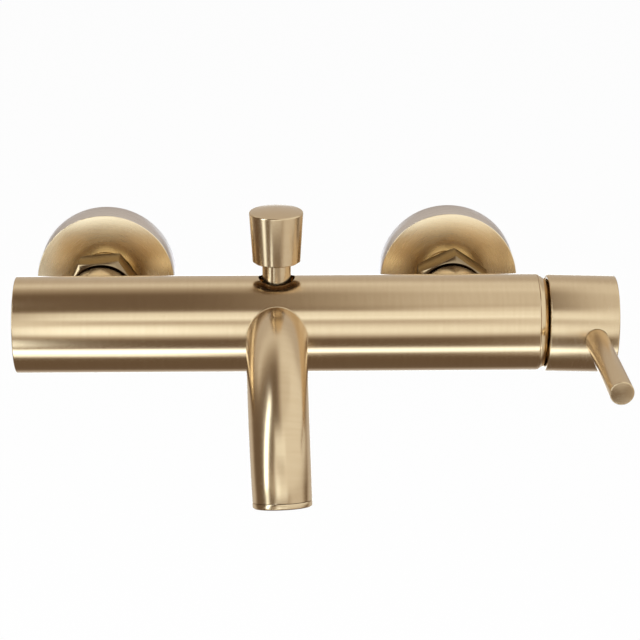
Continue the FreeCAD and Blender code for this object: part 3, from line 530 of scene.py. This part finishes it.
# %% Model the escutcheons
CUP_RADIUS = 29.8
CUP_DEPTH = 14.5
CUP_HOLE = 13.15
RIM_WALL = 1.5
FACE_WALL = 2.0
for side, x in INLETS.items():
    cup = turned("escutcheon_cup_" + side, [
        (CUP_HOLE, CUP_DEPTH), (CUP_RADIUS, CUP_DEPTH), (CUP_RADIUS, 0.0), (CUP_RADIUS - RIM_WALL, 0.0),
        (CUP_RADIUS - RIM_WALL, CUP_DEPTH - FACE_WALL), (CUP_HOLE, CUP_DEPTH - FACE_WALL),
    ], hollow=True, segments=160)
    rounded(cup, 0.35)
    placed(cup, (x, 0, 0), -Y)
    finished(cup, gold_wall[side], "brushed_gold", "mixer_body", "escutcheon_" + side)

# %% [markdown]
# ## Union nuts
# The two nuts are hexagon bar whose corners were chamfered on the lathe, which leaves the curved edge
# seen on each flat. A bevel on a hexagon would leave straight edges instead, so the same happens here as
# on the lathe: a hexagon and a turned blank are laid over each other and only what they share is kept.
# The edges are then eased by a small bevel.

# %% Model the union nuts
NUT_BACK = 22.2
NUT_LENGTH = 14.8
NUT_FLAT = 15.0
NUT_CORNER = NUT_FLAT / math.cos(math.radians(30))
NUT_TURN = {"left": 35.0, "right": 55.0}
NUT_CHAMFER = 0.4
NUT_LIP = 3.0
THREAD_ROOM = 13.2
LEG_ROOM = 10.5
chamfer_edge = NUT_FLAT - NUT_CHAMFER
blank_radius = NUT_CORNER + NUT_CHAMFER
chamfer_length = 1.2 * (NUT_CORNER - chamfer_edge) * math.tan(math.radians(30))
for side, x in INLETS.items():
    hexagon = turned("union_hexagon_" + side, [(NUT_CORNER, 0), (NUT_CORNER, NUT_LENGTH)], segments=6)
    swung(hexagon, (0, 0, 0), Z, NUT_TURN[side])
    blank = turned("nut_blank", [
        (chamfer_edge, 0), (blank_radius, chamfer_length), (blank_radius, NUT_LENGTH - chamfer_length),
        (chamfer_edge, NUT_LENGTH),
    ])
    cut(hexagon, blank, operation="INTERSECT")
    rounded(hexagon, 0.18, segments=2, angle=22)
    cut(hexagon, turned("nut_thread", [(THREAD_ROOM, -1), (THREAD_ROOM, NUT_LENGTH - NUT_LIP)]),
        turned("nut_hole", [(LEG_ROOM, -2), (LEG_ROOM, NUT_LENGTH + 2)]))
    placed(hexagon, (x, -NUT_BACK, 0), -Y)
    finished(hexagon, gold_nut[side], "brushed_gold", "mixer_body", "union_nut_" + side, angle=18)

# %% [markdown]
# ## Handle cap and lever
# The cap is a deep cup over the end of the tube that hangs one and a half degrees in the play of its
# spindle, and the lever is a plain pin screwed into its front. They could be modelled leaning, but a
# lathe part is easiest to measure upright, so both are turned upright, stood in their places and only
# then swung about the spindle's pivot.

# %% Places and finishes of the handle
PIVOT = TUBE + X * 97
DROOP = 1.5
CAP_START = 111.0
LEVER_AT = 18.1
LEVER_DIP = 1.5
LEVER_LEAN = 2.2
dip = math.radians(LEVER_DIP)
lean = math.radians(LEVER_LEAN)
lever_way = Vector((math.sin(lean) * math.cos(dip), -math.cos(lean) * math.cos(dip), -math.sin(dip)))
lever_root = TUBE + X * (CAP_START + LEVER_AT)
droop_at_lever = (lever_root - PIVOT).length * math.sin(math.radians(DROOP))
gold_cap = brushed_gold("gold_round_the_cap", X, PIVOT, turn=(0, 90 + DROOP, 0),
                        roughness=0.26, relief=0.02)
gold_lever = brushed_gold("gold_round_the_lever", lever_way, lever_root - Z * droop_at_lever,
                          turn=(LEVER_DIP - 90, 0, LEVER_LEAN), roughness=0.26, relief=0.02)
print("the lever's root hangs", round(droop_at_lever, 2), "mm")

# %% Model the handle cap and the lever
CAP_LENGTH = 28.15
CAP_ROOM = 18.2
CAP_ROOM_DEPTH = 10.5
LEVER_RADIUS = 4.8
LEVER_END = 76.3
STUD_RADIUS = 3.0
SEAT_DEPTH = 16.5
GRUB_AT = 14.0
cap = turned("handle_cap_shell", [
    (CAP_ROOM, CAP_ROOM_DEPTH), (CAP_ROOM, 0.0), (TUBE_RADIUS, 0.0), (TUBE_RADIUS, CAP_LENGTH),
], segments=192)
rounded(cap, 0.55, segments=4)
placed(cap, TUBE + X * CAP_START, X)
seat_radius = LEVER_RADIUS + 0.08
seat = turned("lever_seat", [(seat_radius, 0), (seat_radius, 20)], segments=64)
placed(seat, lever_root + lever_way * SEAT_DEPTH, lever_way)
grub_hole = turned("grub_hole", [(2.5, 0), (2.5, 20)], segments=48)
placed(grub_hole, TUBE + X * (CAP_START + GRUB_AT) - Z * 5, -Z)
cut(cap, seat, grub_hole)
swung(cap, PIVOT, Y, DROOP)
finished(cap, gold_cap, "brushed_gold", "handle", "handle_cap")

lever = turned("lever_pin", [
    (STUD_RADIUS, 6.0), (STUD_RADIUS, SEAT_DEPTH), (LEVER_RADIUS, SEAT_DEPTH), (LEVER_RADIUS, LEVER_END),
], segments=96)
rounded(lever, 0.45, segments=4)
placed(lever, lever_root, lever_way)
swung(lever, PIVOT, Y, DROOP)
finished(lever, gold_lever, "brushed_gold", "handle", "handle_lever")

# %% [markdown]
# ## Dome ring
# Between tube and cap sits a cover that is part of a ball centred on the spindle's pivot, so that the
# cap's rim can swing over it without a gap that changes. A ball primitive would have to be cut twice and
# emptied, so the ring is turned too, with its ball drawn as rings at even angles.

# %% Model the dome ring
DOME_RADIUS = 22.41
FLANGE_RADIUS = 19.85
MOUTH_ANGLE = 36.2
DOME_STEPS = 10
foot_angle = math.degrees(math.asin(FLANGE_RADIUS / DOME_RADIUS))
ball = []
for i in range(DOME_STEPS + 1):
    around = math.radians(foot_angle + (MOUTH_ANGLE - foot_angle) * i / DOME_STEPS)
    ball.append((DOME_RADIUS * math.sin(around), DOME_RADIUS * math.cos(around)))
mouth_radius = ball[-1][0]
dome = turned("dome_cover", [
    (mouth_radius, 7.85), (17.55, 7.85), (17.55, 10.25), (FLANGE_RADIUS, 10.25), *ball,
], hollow=True, segments=160)
rounded(dome, 0.12, segments=2, angle=40)
placed(dome, PIVOT, X)
finished(dome, gold_x, "brushed_gold", "mixer_body", "dome_ring")

# %% [markdown]
# ## Diverter knob and stem
# The knob tapers towards the tube and has a slightly domed crown, the shape a turner gives to a pull so
# that fingers hold it. A scaled ball would give a crown that is too round at its edge, so the crown's
# rings lie on a large ball and meet the side in a quarter round. The knob's underside is painted dark, a
# painted shade where it hangs over the tube. The stem below is a straight pin that slides in its hole.

# %% Model the knob
KNOB_RADIUS = 11.1
KNOB_EDGE = 0.7
KNOB_TOP = 47.3
KNOB_CROWN = 1.0
CROWN_STEPS = 6
EDGE_STEPS = 5
# The dark colour for the knob's underside is a painted shade.
UNDERSIDE_PAINTED_SHADE = (0.16, 0.10, 0.05, 1)
DOWNWARD = (-1.1, -0.9)
flat_radius = KNOB_RADIUS - KNOB_EDGE
crown_ball = (flat_radius ** 2 + KNOB_CROWN ** 2) / (2 * KNOB_CROWN)
crown_centre = KNOB_TOP + KNOB_EDGE + KNOB_CROWN - crown_ball
edge = []
for i in range(EDGE_STEPS):
    around = math.radians(90 * i / EDGE_STEPS)
    edge.append((flat_radius + KNOB_EDGE * math.cos(around), KNOB_TOP + KNOB_EDGE * math.sin(around)))
crown = []
for i in range(CROWN_STEPS):
    out = flat_radius * (1 - i / CROWN_STEPS)
    crown.append((out, crown_centre + math.sqrt(crown_ball ** 2 - out ** 2)))
knob = turned("diverter_knob_shell", [(3.0, 38.0), (3.0, 27.0), (9.5, 27.0), (9.9, 27.4), *edge, *crown])
placed(knob, TUBE)
gold_knob = gold_z.copy()
gold_knob.name = "gold_of_the_knob"
# The underside gets its painted shade here.
recoloured(gold_knob, "Z", *DOWNWARD, UNDERSIDE_PAINTED_SHADE)
finished(knob, gold_knob, "brushed_gold", "diverter", "diverter_knob", angle=28)

# %% Model the stem
stem = turned("diverter_pull_rod", [
    (1.5, -14.95), (1.5, -12.85), (2.5, -12.85), (2.5, -3.3), (2.0, -3.3), (2.0, -2.5), (2.5, -2.5),
    (2.5, 13.5), (5.9, 13.5), (5.9, 27.0), (2.95, 27.0), (2.95, 37.0),
], segments=96)
placed(stem, TUBE)
finished(stem, gold_z, "brushed_gold", "diverter", "diverter_stem")

# %% [markdown]
# ## Spout
# The spout is a tube that was bent on a former and drawn down a little towards its end. A curve with a
# round bevel would give the bend, but not the seat of the jet former inside its tip. So a circle is
# extruded in small steps, each turned about the middle of the bend and made a little smaller, and its
# last steps lead back inside as that seat. The root is then cut to the shape of the body tube.

# %% Line of the bend
SPOUT_START = 12.0
SPOUT_STUB = 8.0
BEND_RADIUS = 55.6
BEND_ANGLE = 73.0
BEND_STEPS = 40
SPOUT_ROOT = 12.4
SPOUT_TIP = 11.7
STRAIGHT_END = 10.2
RING_SHOWS = 2.4
SPOUT_LEAN = 2.4
bend_centre = TUBE - Y * (SPOUT_START + SPOUT_STUB) - Z * BEND_RADIUS
bend_length = BEND_RADIUS * math.radians(BEND_ANGLE)
spout_drop = STRAIGHT_END - RING_SHOWS
spout_length = bend_length + spout_drop


def spout_radius(along):
    """The spout's radius this far along its centre line."""
    return SPOUT_ROOT + (SPOUT_TIP - SPOUT_ROOT) * along / spout_length


def on_bend(degrees):
    """A point of the spout's centre line and the direction there."""
    turn = math.radians(degrees)
    point = bend_centre + Vector((0, -math.sin(turn), math.cos(turn))) * BEND_RADIUS
    return point, Vector((0, -math.cos(turn), -math.sin(turn)))


print("the spout is", round(spout_length, 1), "mm long past its root")

# %% Model the spout
SEAT_RADIUS = 10.1
SPOUT_SEAT = 9.0


def grow(share, centre):
    """Scales what is selected in edit mode about a point, which is in mm."""
    bpy.ops.transform.resize(value=(share,) * 3, center_override=tuple(centre * MM))


def bend_spout():
    """Extrudes the circle round the bend, then straight on, and turns its end into a deep seat."""
    step = math.radians(BEND_ANGLE) / BEND_STEPS
    for i in range(BEND_STEPS):
        centre, _ = on_bend(BEND_ANGLE * (i + 1) / BEND_STEPS)
        bpy.ops.mesh.extrude_region_move()
        bpy.ops.transform.rotate(value=-step, orient_axis="X", center_override=tuple(bend_centre * MM))
        before = spout_radius(bend_length * i / BEND_STEPS)
        grow(spout_radius(bend_length * (i + 1) / BEND_STEPS) / before, centre)
    point, way = on_bend(BEND_ANGLE)
    before = spout_radius(bend_length)
    for along, radius in ((spout_drop, SPOUT_TIP), (0, SEAT_RADIUS), (-SPOUT_SEAT, SEAT_RADIUS)):
        bpy.ops.mesh.extrude_region_move(TRANSFORM_OT_translate={"value": tuple(way * along * MM)})
        point = point + way * along
        grow(radius / before, point)
        before = radius
    close_holes()


nothing_selected()
bpy.ops.mesh.primitive_circle_add(vertices=144, radius=SPOUT_ROOT * MM)
spout = bpy.context.object
spout.name = "spout_tube"
placed(spout, TUBE - Y * SPOUT_START, -Y)
stub = {"value": (0, -SPOUT_STUB * MM, 0)}
edited(spout, lambda: bpy.ops.mesh.extrude_region_move(TRANSFORM_OT_translate=stub), bend_spout)
outward(spout)
rounded(spout, 0.12, segments=2, angle=50)
saddle_radius = TUBE_RADIUS + 0.05
saddle = turned("tube_saddle", [(saddle_radius, -40), (saddle_radius, 40)], segments=256)
cut(spout, placed(saddle, TUBE, X))
print("spout cut to the tube,", len(spout.data.polygons), "faces")

# %% [markdown]
# ## Edge at the spout's root
# Where the spout meets the tube, the polishing left a fine rolled edge that catches the light all round.
# A bevel can't follow the seam, because spout and body are two pieces there. So a circle of the spout's
# size is laid onto the tube, point by point, and made a thin round bead, which joins the spout.

# %% Model the edge at the root
BEAD_RADIUS = 0.32
bead_on = TUBE_RADIUS + 0.1
nothing_selected()
bpy.ops.mesh.primitive_circle_add(vertices=144, radius=SPOUT_ROOT * MM, rotation=(math.radians(90), 0, 0))
root_edge = bpy.context.object
root_edge.name = "root_edge"
bpy.ops.object.transform_apply(location=True, rotation=True, scale=True)
for vertex in root_edge.data.vertices:
    vertex.co.y = TUBE.y * MM - math.sqrt((bead_on * MM) ** 2 - vertex.co.z ** 2)
bpy.ops.object.convert(target="CURVE")
root_edge.data.bevel_depth = BEAD_RADIUS * MM
root_edge.data.bevel_resolution = 3
bpy.ops.object.convert(target="MESH")
outward(root_edge)
joined(spout, root_edge)
swung(spout, TUBE, Y, -SPOUT_LEAN)
lowest = min(vertex.co.z for vertex in spout.data.vertices)
print("spout reaches down to", round(lowest / MM, 2), "mm")

# %% Finish of the spout
LINES_ACROSS = 120.0
gold_spout = bpy.data.materials.new("gold_round_the_spout")
gold_spout.use_nodes = True
spout_tree = gold_spout.node_tree
spout_place = node(spout_tree, "TexCoord")
spout_parts = node(spout_tree, "SeparateXYZ")
spout_mapping = node(spout_tree, "Mapping", "middle of the bend", vector_type="TEXTURE",
                     values={"Location": bend_centre * MM, "Rotation": (0, math.radians(-SPOUT_LEAN), 0)})
spout_tree.links.new(spout_place.outputs["Object"], spout_mapping.inputs["Vector"])
spout_tree.links.new(spout_mapping.outputs[0], spout_parts.inputs[0])
bend_angle = math_node(spout_tree, "ARCTAN2", spout_parts.outputs[1], spout_parts.outputs[2])
finish_gold(spout_tree, math_node(spout_tree, "MULTIPLY", bend_angle, BEND_RADIUS * MM),
            math_node(spout_tree, "MULTIPLY", spout_parts.outputs[0], LINES_ACROSS),
            roughness=0.23, relief=0.012)
lay_lines(spout_tree, bend_centre, X, spread=0.4, rotation=0.0)
finished(spout, gold_spout, "brushed_gold", "mixer_body", "spout")

# %% [markdown]
# ## Jet former's ring
# The ring at the spout's end screws in and holds the jet former. It could be a step in the spout's own
# mesh, but on the real mixer it unscrews, so it is a piece of its own, turned round the spout's own
# direction. The fine seam above it is the joint between the two pieces.

# %% Model the jet former's ring
tip, tip_way = on_bend(BEND_ANGLE)
ring = turned("jet_ring", [
    (8.75, 0.0), (11.2, 0.0), (11.7, 0.5), (11.7, 2.25), (10.05, 2.25), (10.05, 9.4), (8.75, 9.4),
], hollow=True)
rounded(ring, 0.10, segments=2, angle=25)
placed(ring, tip + tip_way * STRAIGHT_END, -tip_way)
swung(ring, TUBE, Y, -SPOUT_LEAN)
finished(ring, gold_spout, "brushed_gold", "mixer_body", "aerator_housing")

# %% [markdown]
# ## Body tube
# The body is one casting: a tube with two legs to the wall and a boss for the shower outlet. Its holes
# run in many directions, which one turned outline can't give. So the tube is turned, the legs and the
# boss are joined on, and then the seats and bores are cut out, in the order in which a machinist would
# do it. Many segments keep the long reflections on the tube straight.

# %% Model the body
TUBE_HALF = 107.25
body = turned("body_casting", [(TUBE_RADIUS, -TUBE_HALF), (TUBE_RADIUS, TUBE_HALF)], segments=256)
rounded(body, 0.45, segments=4)
placed(body, TUBE, X)
for x in INLETS.values():
    leg = turned("leg", [(14.3, 39.75), (14.3, 72.0)])
    rounded(leg, 0.25)
    cut(body, placed(leg, (x, 0, 0), -Y), operation="UNION")
cut(body, placed(turned("outlet_boss", [(11.5, -22.5), (11.5, 0)]), TUBE), operation="UNION")
bores = [
    placed(turned("plug_seat", [(15.0, -120), (15.0, -100.75)]), TUBE, X),
    placed(turned("cartridge_room", [(13.95, 80.25), (13.95, 120)]), TUBE, X),
    placed(turned("thread_room", [(17.6, 101.5), (17.6, 120)]), TUBE, X),
    placed(turned("diverter_bore", [(7.5, -4.5), (7.5, 30)], segments=96), TUBE),
    placed(turned("outlet_bore", [(8.0, -30), (8.0, -6.0)], segments=96), TUBE),
    placed(turned("spout_socket", [(9.0, 10.5), (9.0, 30)], segments=96), TUBE, -Y),
]
for x in INLETS.values():
    bores.append(placed(turned("leg_bore", [(11.0, 30), (11.0, 53.75)], segments=96), (x, 0, 0), -Y))
cut(body, *bores)
finished(body, gold_x, "brushed_gold", "mixer_body", "body", angle=25)

# %% Model the end plug
plug = turned("end_plug_disc", [(14.95, 0.0), (14.95, 6.5)])
rounded(plug, 0.25)
placed(plug, TUBE - X * TUBE_HALF, X)
finished(plug, gold_x, "brushed_gold", "mixer_body", "end_plug")

# %% [markdown]
# ## Screw threads
# The hose nipple and the wall unions carry pipe threads. A stack of rings would look much the same from
# afar, but a thread is a ridge on a helix and its ends show it. So a small triangle is swept with the
# screw modifier round a plain core, and both of its ends are closed.

# %% Model the hose nipple
THREAD_PITCH = 1.814
THREAD_DEPTH = 1.16
THREAD_SINK = 0.3
STEPS_PER_TURN = 48
PIPE_ROOT = 9.32
PIPE_CREST = 10.48
HOSE_END = -36.0


def thread_ridge(name, radius, length):
    """A helical ridge from height 0 up to the length, whose crest stands at the radius."""
    nothing_selected()
    bpy.ops.mesh.primitive_circle_add(vertices=3, radius=THREAD_PITCH / 2 * MM)
    ridge = bpy.context.object
    ridge.name = name
    foot = radius - THREAD_DEPTH - THREAD_SINK
    half_foot = 0.46 * THREAD_PITCH
    corners = ((foot, -half_foot), (radius, 0.0), (foot, half_foot))
    for vertex, (out, up) in zip(ridge.data.vertices, corners):
        vertex.co = (out * MM, 0, up * MM)
    rise = length - THREAD_PITCH
    turns = rise / THREAD_PITCH
    steps = int(STEPS_PER_TURN * turns)
    applied(ridge, "SCREW", angle=math.radians(360) * turns, screw_offset=rise * MM, steps=steps,
            render_steps=steps, iterations=1)
    edited(ridge, lambda: lift(THREAD_PITCH / 2), close_holes)
    outward(ridge)
    return ridge


nipple = turned("hose_nipple", [
    (7.0, 0.0), (PIPE_ROOT, 0.0), (PIPE_ROOT, 11.0), (7.95, 11.0), (7.95, 20.1), (4.6, 20.1), (4.6, 13.5),
    (7.0, 13.5),
], hollow=True)
rounded(nipple, 0.15, segments=2)
collar_corner = 10.5 / math.cos(math.radians(30))
collar = turned("nipple_collar", [(collar_corner, 10.5), (collar_corner, 13.5)], segments=6)
cut(collar, turned("collar_blank", [(10.6, 10.5), (12.0, 11.3), (12.0, 12.7), (10.6, 13.5)]),
    operation="INTERSECT")
cut(collar, turned("collar_hole", [(7.9, 0), (7.9, 20)]))
joined(nipple, collar, thread_ridge("nipple_thread", PIPE_CREST, 10.5))
placed(nipple, TUBE + Z * HOSE_END)
finished(nipple, inner_finishes["plain_brass"], "plain_brass", "mixer_body", "hose_outlet")

# %% [markdown]
# ## Wall unions
# Each inlet stands on an eccentric union: its wall thread sits 6 mm below the nut's axis, so that turning
# the union corrects the spacing of the pipes in the wall. No single outline can be turned to two axes, so
# it is put together from three turned blanks and two bores. It is modelled once, at the left inlet, and
# its twin is a copy 150 mm along.

# %% Model the wall unions
OFFSET = 6.0
THREAD_START = 18.0
left, right = INLETS.values()
union = placed(turned("wall_union_thread_left", [(13.1, 3.0), (13.1, 29.8)]), (left, 0, 0), -Y)
rounded(union, 0.4)
hub = placed(turned("union_hub", [(16.5, 3.0), (16.5, 8.0)]), (left, 0, -OFFSET / 2), -Y)
rounded(hub, 0.3, segments=2)
tail = turned("union_tail", [(PIPE_ROOT, -THREAD_START), (PIPE_ROOT, 4.0)])
placed(tail, (left, 0, -OFFSET), -Y)
cut(union, hub, tail, operation="UNION")
cut(union, placed(turned("front_bore", [(7.5, 4.0), (7.5, 40)], segments=96), (left, 0, 0), -Y),
    placed(turned("back_bore", [(7.5, -20), (7.5, 7.0)], segments=96), (left, 0, -OFFSET), -Y))
wall_thread = thread_ridge("wall_thread", PIPE_CREST, 20.0)
joined(union, placed(wall_thread, (left, THREAD_START, -OFFSET), -Y))
right_union = placed(copied(union, "wall_union_thread_right"), (right - left, 0, 0))
finished(union, inner_finishes["plain_brass"], "plain_brass", "mixer_body", "wall_union_left")
finished(right_union, inner_finishes["plain_brass"], "plain_brass", "mixer_body", "wall_union_right")

# %% [markdown]
# ## Springs
# Three wound springs work inside: one pulls the diverter down, and one closes each check valve. A stack
# of rings would pass for one at a glance, but a circle swept on a helix is a spring and no more work.
# Each fills the room of its solid and moves with the body.

# %% Model the springs
SPRING_WIRE = 0.25
SPRING_TURNS = 4
STEPS_PER_COIL = 32


def wound_spring(name, cad_spring, way, coil):
    """A spring in the room of its solid, wound from its near end along way."""
    spring_low, spring_high = (Vector(corner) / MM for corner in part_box(cad_spring))
    middle = (spring_low + spring_high) / 2
    length = abs((spring_high - spring_low).dot(way))
    nothing_selected()
    bpy.ops.mesh.primitive_circle_add(vertices=10, radius=SPRING_WIRE * MM,
                                      rotation=(math.radians(90), 0, 0),
                                      location=(coil * MM, 0, SPRING_WIRE * MM))
    spring = bpy.context.object
    spring.name = name
    bpy.ops.object.transform_apply(location=True, rotation=True, scale=True)
    steps = STEPS_PER_COIL * SPRING_TURNS
    applied(spring, "SCREW", angle=math.radians(360) * SPRING_TURNS, iterations=1, steps=steps,
            render_steps=steps, screw_offset=(length - 2 * SPRING_WIRE) * MM)
    edited(spring, close_holes)
    outward(spring)
    placed(spring, middle - way * length / 2, way)
    finished(spring, inner_finishes["stainless"], "stainless", "mixer_body", cad_spring)
    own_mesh(spring)


wound_spring("diverter_coil", "diverter_spring", Z, coil=4.1)
for side in INLETS:
    wound_spring("check_coil_" + side, "check_spring_" + side, -Y,
                 coil=2.5)

# %% [markdown]
# ## Light
# The metal in the photograph mirrors a bright studio, with soft boxes and dark gaps between them, and
# shows little else. Lamps with a size could stand for them, but each would also light the floor, so they
# are drawn into the world: long boxes that lie level for the tube, and upright ones for the knob and the
# spout. Only reflections see them, and everything else is lit evenly.

# %% Directions in the world
world = bpy.data.worlds.new("studio_tent")
bpy.context.scene.world = world
world.use_nodes = True
sky = world.node_tree
sky.nodes.clear()
way_in = node(sky, "TexCoord")
way = node(sky, "SeparateXYZ")
sky.links.new(way_in.outputs["Generated"], way.inputs[0])
toward = math_node(sky, "MULTIPLY", way.outputs[1], -1.0)
rise = math_node(sky, "ARCTAN2", way.outputs[2], toward)
side_way = math_node(sky, "ARCSINE", way.outputs[0])
turn_way = math_node(sky, "ARCTAN2", way.outputs[0], toward)
height_way = math_node(sky, "ARCSINE", way.outputs[2])


def soft_edge(place, centre, half, soft):
    """1 within half of the centre, in degrees, falling to 0 over the soft width on either side."""
    off = math_node(sky, "ABSOLUTE", math_node(sky, "SUBTRACT", place, math.radians(centre)))
    fall = node(sky, "MapRange", interpolation_type="SMOOTHSTEP", values={
        "From Min": math.radians(half + soft), "From Max": math.radians(half - soft),
        "To Min": 0.0, "To Max": 1.0})
    sky.links.new(off, fall.inputs["Value"])
    return fall.outputs[0]


def soft_box(places, strength):
    """One box of light: the product of its edges in two directions."""
    edges = [soft_edge(*place) for place in places]
    box = math_node(sky, "MULTIPLY", edges[0], edges[1])
    return math_node(sky, "MULTIPLY", box, strength)


print("the world has", len(sky.nodes), "nodes for its directions")

# %% Soft boxes
ROOM = 0.18
# Level boxes: middle, half height and softness of the rise in degrees, then the same from side to side.
LEVEL_BOXES = (
    ((165, 50, 10), (0, 60, 10), 0.44),
    ((116, 16, 10), (0, 60, 10), 0.28),
    ((82, 30, 14), (34, 30, 10), 0.64),
    ((37, 9.5, 4.5), (2, 21, 5), 1.0),
    ((22, 10, 6), (2, 21, 5), 0.42),
    ((1, 12.5, 9), (2, 22, 5), 1.05),
    ((4, 11, 5), (-24, 18, 8), 0.4),
    ((-50, 5.5, 3), (-17, 18, 8), 2.8),
    ((-50, 6.5, 5), (19, 18, 8), 1.9),
    ((-60, 5, 4), (-22, 20, 5), 1.6),
    ((-150, 24, 12), (0, 60, 10), 0.50),
    ((-164, 15, 6), (0, 12, 6), 1.80),
)
# Upright boxes: the same of the turn from the camera's side, then of the height.
UPRIGHT_BOXES = (
    ((-54, 6, 4), (-26, 20, 8), 1.6),
    ((-57.5, 6.5, 3), (26, 32, 8), 4.0),
    ((-22.5, 3.5, 1.5), (-26, 9, 5), 2.1),
    ((-20, 6, 4), (14, 14, 6), 0.85),
    ((58, 32, 16), (-30, 32, 8), 0.60),
    ((68, 56, 8), (26, 30, 8), 0.80),
)
light = None
for rise_edge, side_edge, strength in LEVEL_BOXES:
    box = soft_box(((rise, *rise_edge), (side_way, *side_edge)), strength)
    light = box if light is None else math_node(sky, "ADD", light, box)
for turn_edge, height_edge, strength in UPRIGHT_BOXES:
    box = soft_box(((turn_way, *turn_edge), (height_way, *height_edge)), strength)
    light = math_node(sky, "MAXIMUM", light, box)
light = math_node(sky, "ADD", light, ROOM)
print("world with", len(LEVEL_BOXES) + len(UPRIGHT_BOXES), "soft boxes")

# %% What each kind of ray sees
EVEN_LIGHT = 0.8
MOST_COOLING = 2.2
COOLNESS = (0.0, 0.18, 0.35)
WHITE = (1, 1, 1, 1)
glow = node(sky, "CombineColor", "warm gaps and cool boxes")
fullness = math_node(sky, "MINIMUM", math_node(sky, "DIVIDE", light, EVEN_LIGHT), MOST_COOLING)
for socket, coolness in zip(glow.inputs, COOLNESS):
    sky.links.new(math_node(sky, "MULTIPLY", light, math_node(sky, "POWER", fullness, coolness)), socket)
reflected = node(sky, "Background", "what the metal sees")
sky.links.new(glow.outputs[0], reflected.inputs["Color"])
even = node(sky, "Background", "even light", values={"Color": WHITE, "Strength": EVEN_LIGHT})
white = node(sky, "Background", "white backdrop", values={"Color": WHITE, "Strength": 1.0})
paths = node(sky, "LightPath")
by_gloss = node(sky, "MixShader")
by_camera = node(sky, "MixShader")
sky.links.new(paths.outputs["Is Glossy Ray"], by_gloss.inputs[0])
sky.links.new(even.outputs[0], by_gloss.inputs[1])
sky.links.new(reflected.outputs[0], by_gloss.inputs[2])
sky.links.new(paths.outputs["Is Camera Ray"], by_camera.inputs[0])
sky.links.new(by_gloss.outputs[0], by_camera.inputs[1])
sky.links.new(white.outputs[0], by_camera.inputs[2])
world_out = node(sky, "OutputWorld")
sky.links.new(by_camera.outputs[0], world_out.inputs["Surface"])
print("even light", EVEN_LIGHT, "and a white backdrop")

# %% [markdown]
# ## Floor and lamp
# A pale floor lies well below the mixer, which hangs on a wall that isn't drawn. A plain white plane
# would go grey in the light, so its material is mostly glow, with a small share of matt white that takes
# the shadow. From below it is clear, so that it never hides the mixer. One soft lamp stands overhead.

# %% Floor
FLOOR_HEIGHT = -420
FLOOR_RADIUS = 3000
GLOW_SHARE = 0.9
MATT_WHITE = (0.95, 0.95, 0.95, 1)
nothing_selected()
bpy.ops.mesh.primitive_circle_add(vertices=64, radius=FLOOR_RADIUS * MM, fill_type="NGON",
                                  location=(0, 0, FLOOR_HEIGHT * MM))
floor = bpy.context.object
floor.name = "studio_floor"
floor_material = bpy.data.materials.new("pale_floor")
floor_material.use_nodes = True
floor_tree = floor_material.node_tree
floor_tree.nodes.clear()
floor_matt = node(floor_tree, "BsdfDiffuse", values={"Color": MATT_WHITE})
floor_glow = node(floor_tree, "Emission", values={"Color": WHITE, "Strength": 1.0})
floor_mix = node(floor_tree, "MixShader", values={0: GLOW_SHARE})
floor_out = node(floor_tree, "OutputMaterial")
floor_tree.links.new(floor_matt.outputs[0], floor_mix.inputs[1])
floor_tree.links.new(floor_glow.outputs[0], floor_mix.inputs[2])
below = node(floor_tree, "BsdfTransparent")
by_side = node(floor_tree, "MixShader")
floor_tree.links.new(node(floor_tree, "NewGeometry").outputs["Backfacing"], by_side.inputs[0])
floor_tree.links.new(floor_mix.outputs[0], by_side.inputs[1])
floor_tree.links.new(below.outputs[0], by_side.inputs[2])
floor_tree.links.new(by_side.outputs[0], floor_out.inputs["Surface"])
floor.data.materials.append(floor_material)
floor.visible_glossy = False
print("floor at", FLOOR_HEIGHT, "mm")

# %% Lamp
lamp_data = bpy.data.lights.new("overhead_box", "AREA")
lamp_data.shape = "RECTANGLE"
lamp_data.size = 1.2
lamp_data.size_y = 0.8
lamp_data.energy = 12
lamp = bpy.data.objects.new("overhead_box", lamp_data)
lamp.location = (-0.4, -0.7, 1.3)
lamp.rotation_euler = (math.radians(28), math.radians(-14), 0)
lamp.visible_glossy = False
bpy.context.scene.collection.objects.link(lamp)
print("lamp of", lamp_data.energy, "watts")

# %% [markdown]
# ## Camera
# The photograph was taken from a good 0.9 m away, a little above the mixer and looking 19 degrees down.
# A camera could be turned by Euler angles, but its three directions are written out here, so that pitch,
# yaw and roll each stay a number of their own, in radians. The focal length is counted in the picture's
# pixels.

# %% Camera
FOCAL_PIXELS = 2179.8
PICTURE = 640
SENSOR = 36.0
PITCH = 0.3316
YAW = 0.015
ROLL = -0.001
CAMERA_PLACE = Vector((5.0, -923.578, 294.535))
camera_data = bpy.data.cameras.new("camera")
camera = bpy.data.objects.new("camera", camera_data)
bpy.context.scene.collection.objects.link(camera)
camera_data.sensor_width = SENSOR
camera_data.lens = FOCAL_PIXELS * SENSOR / PICTURE
forward = Vector((math.sin(YAW) * math.cos(PITCH), math.cos(YAW) * math.cos(PITCH), -math.sin(PITCH)))
level = Vector((math.cos(YAW), -math.sin(YAW), 0))
upright = level.cross(forward)
rightward = level * math.cos(ROLL) + upright * math.sin(ROLL)
upward = upright * math.cos(ROLL) - level * math.sin(ROLL)
camera_turn = Matrix((rightward, upward, -forward)).transposed().to_4x4()
camera.matrix_world = Matrix.Translation(CAMERA_PLACE * MM) @ camera_turn
bpy.context.scene.camera = camera
bpy.context.scene.view_settings.view_transform = "Standard"
print("lens", round(camera_data.lens, 1), "mm")

# %% Count of the pieces made
print(len(made), "pieces made")
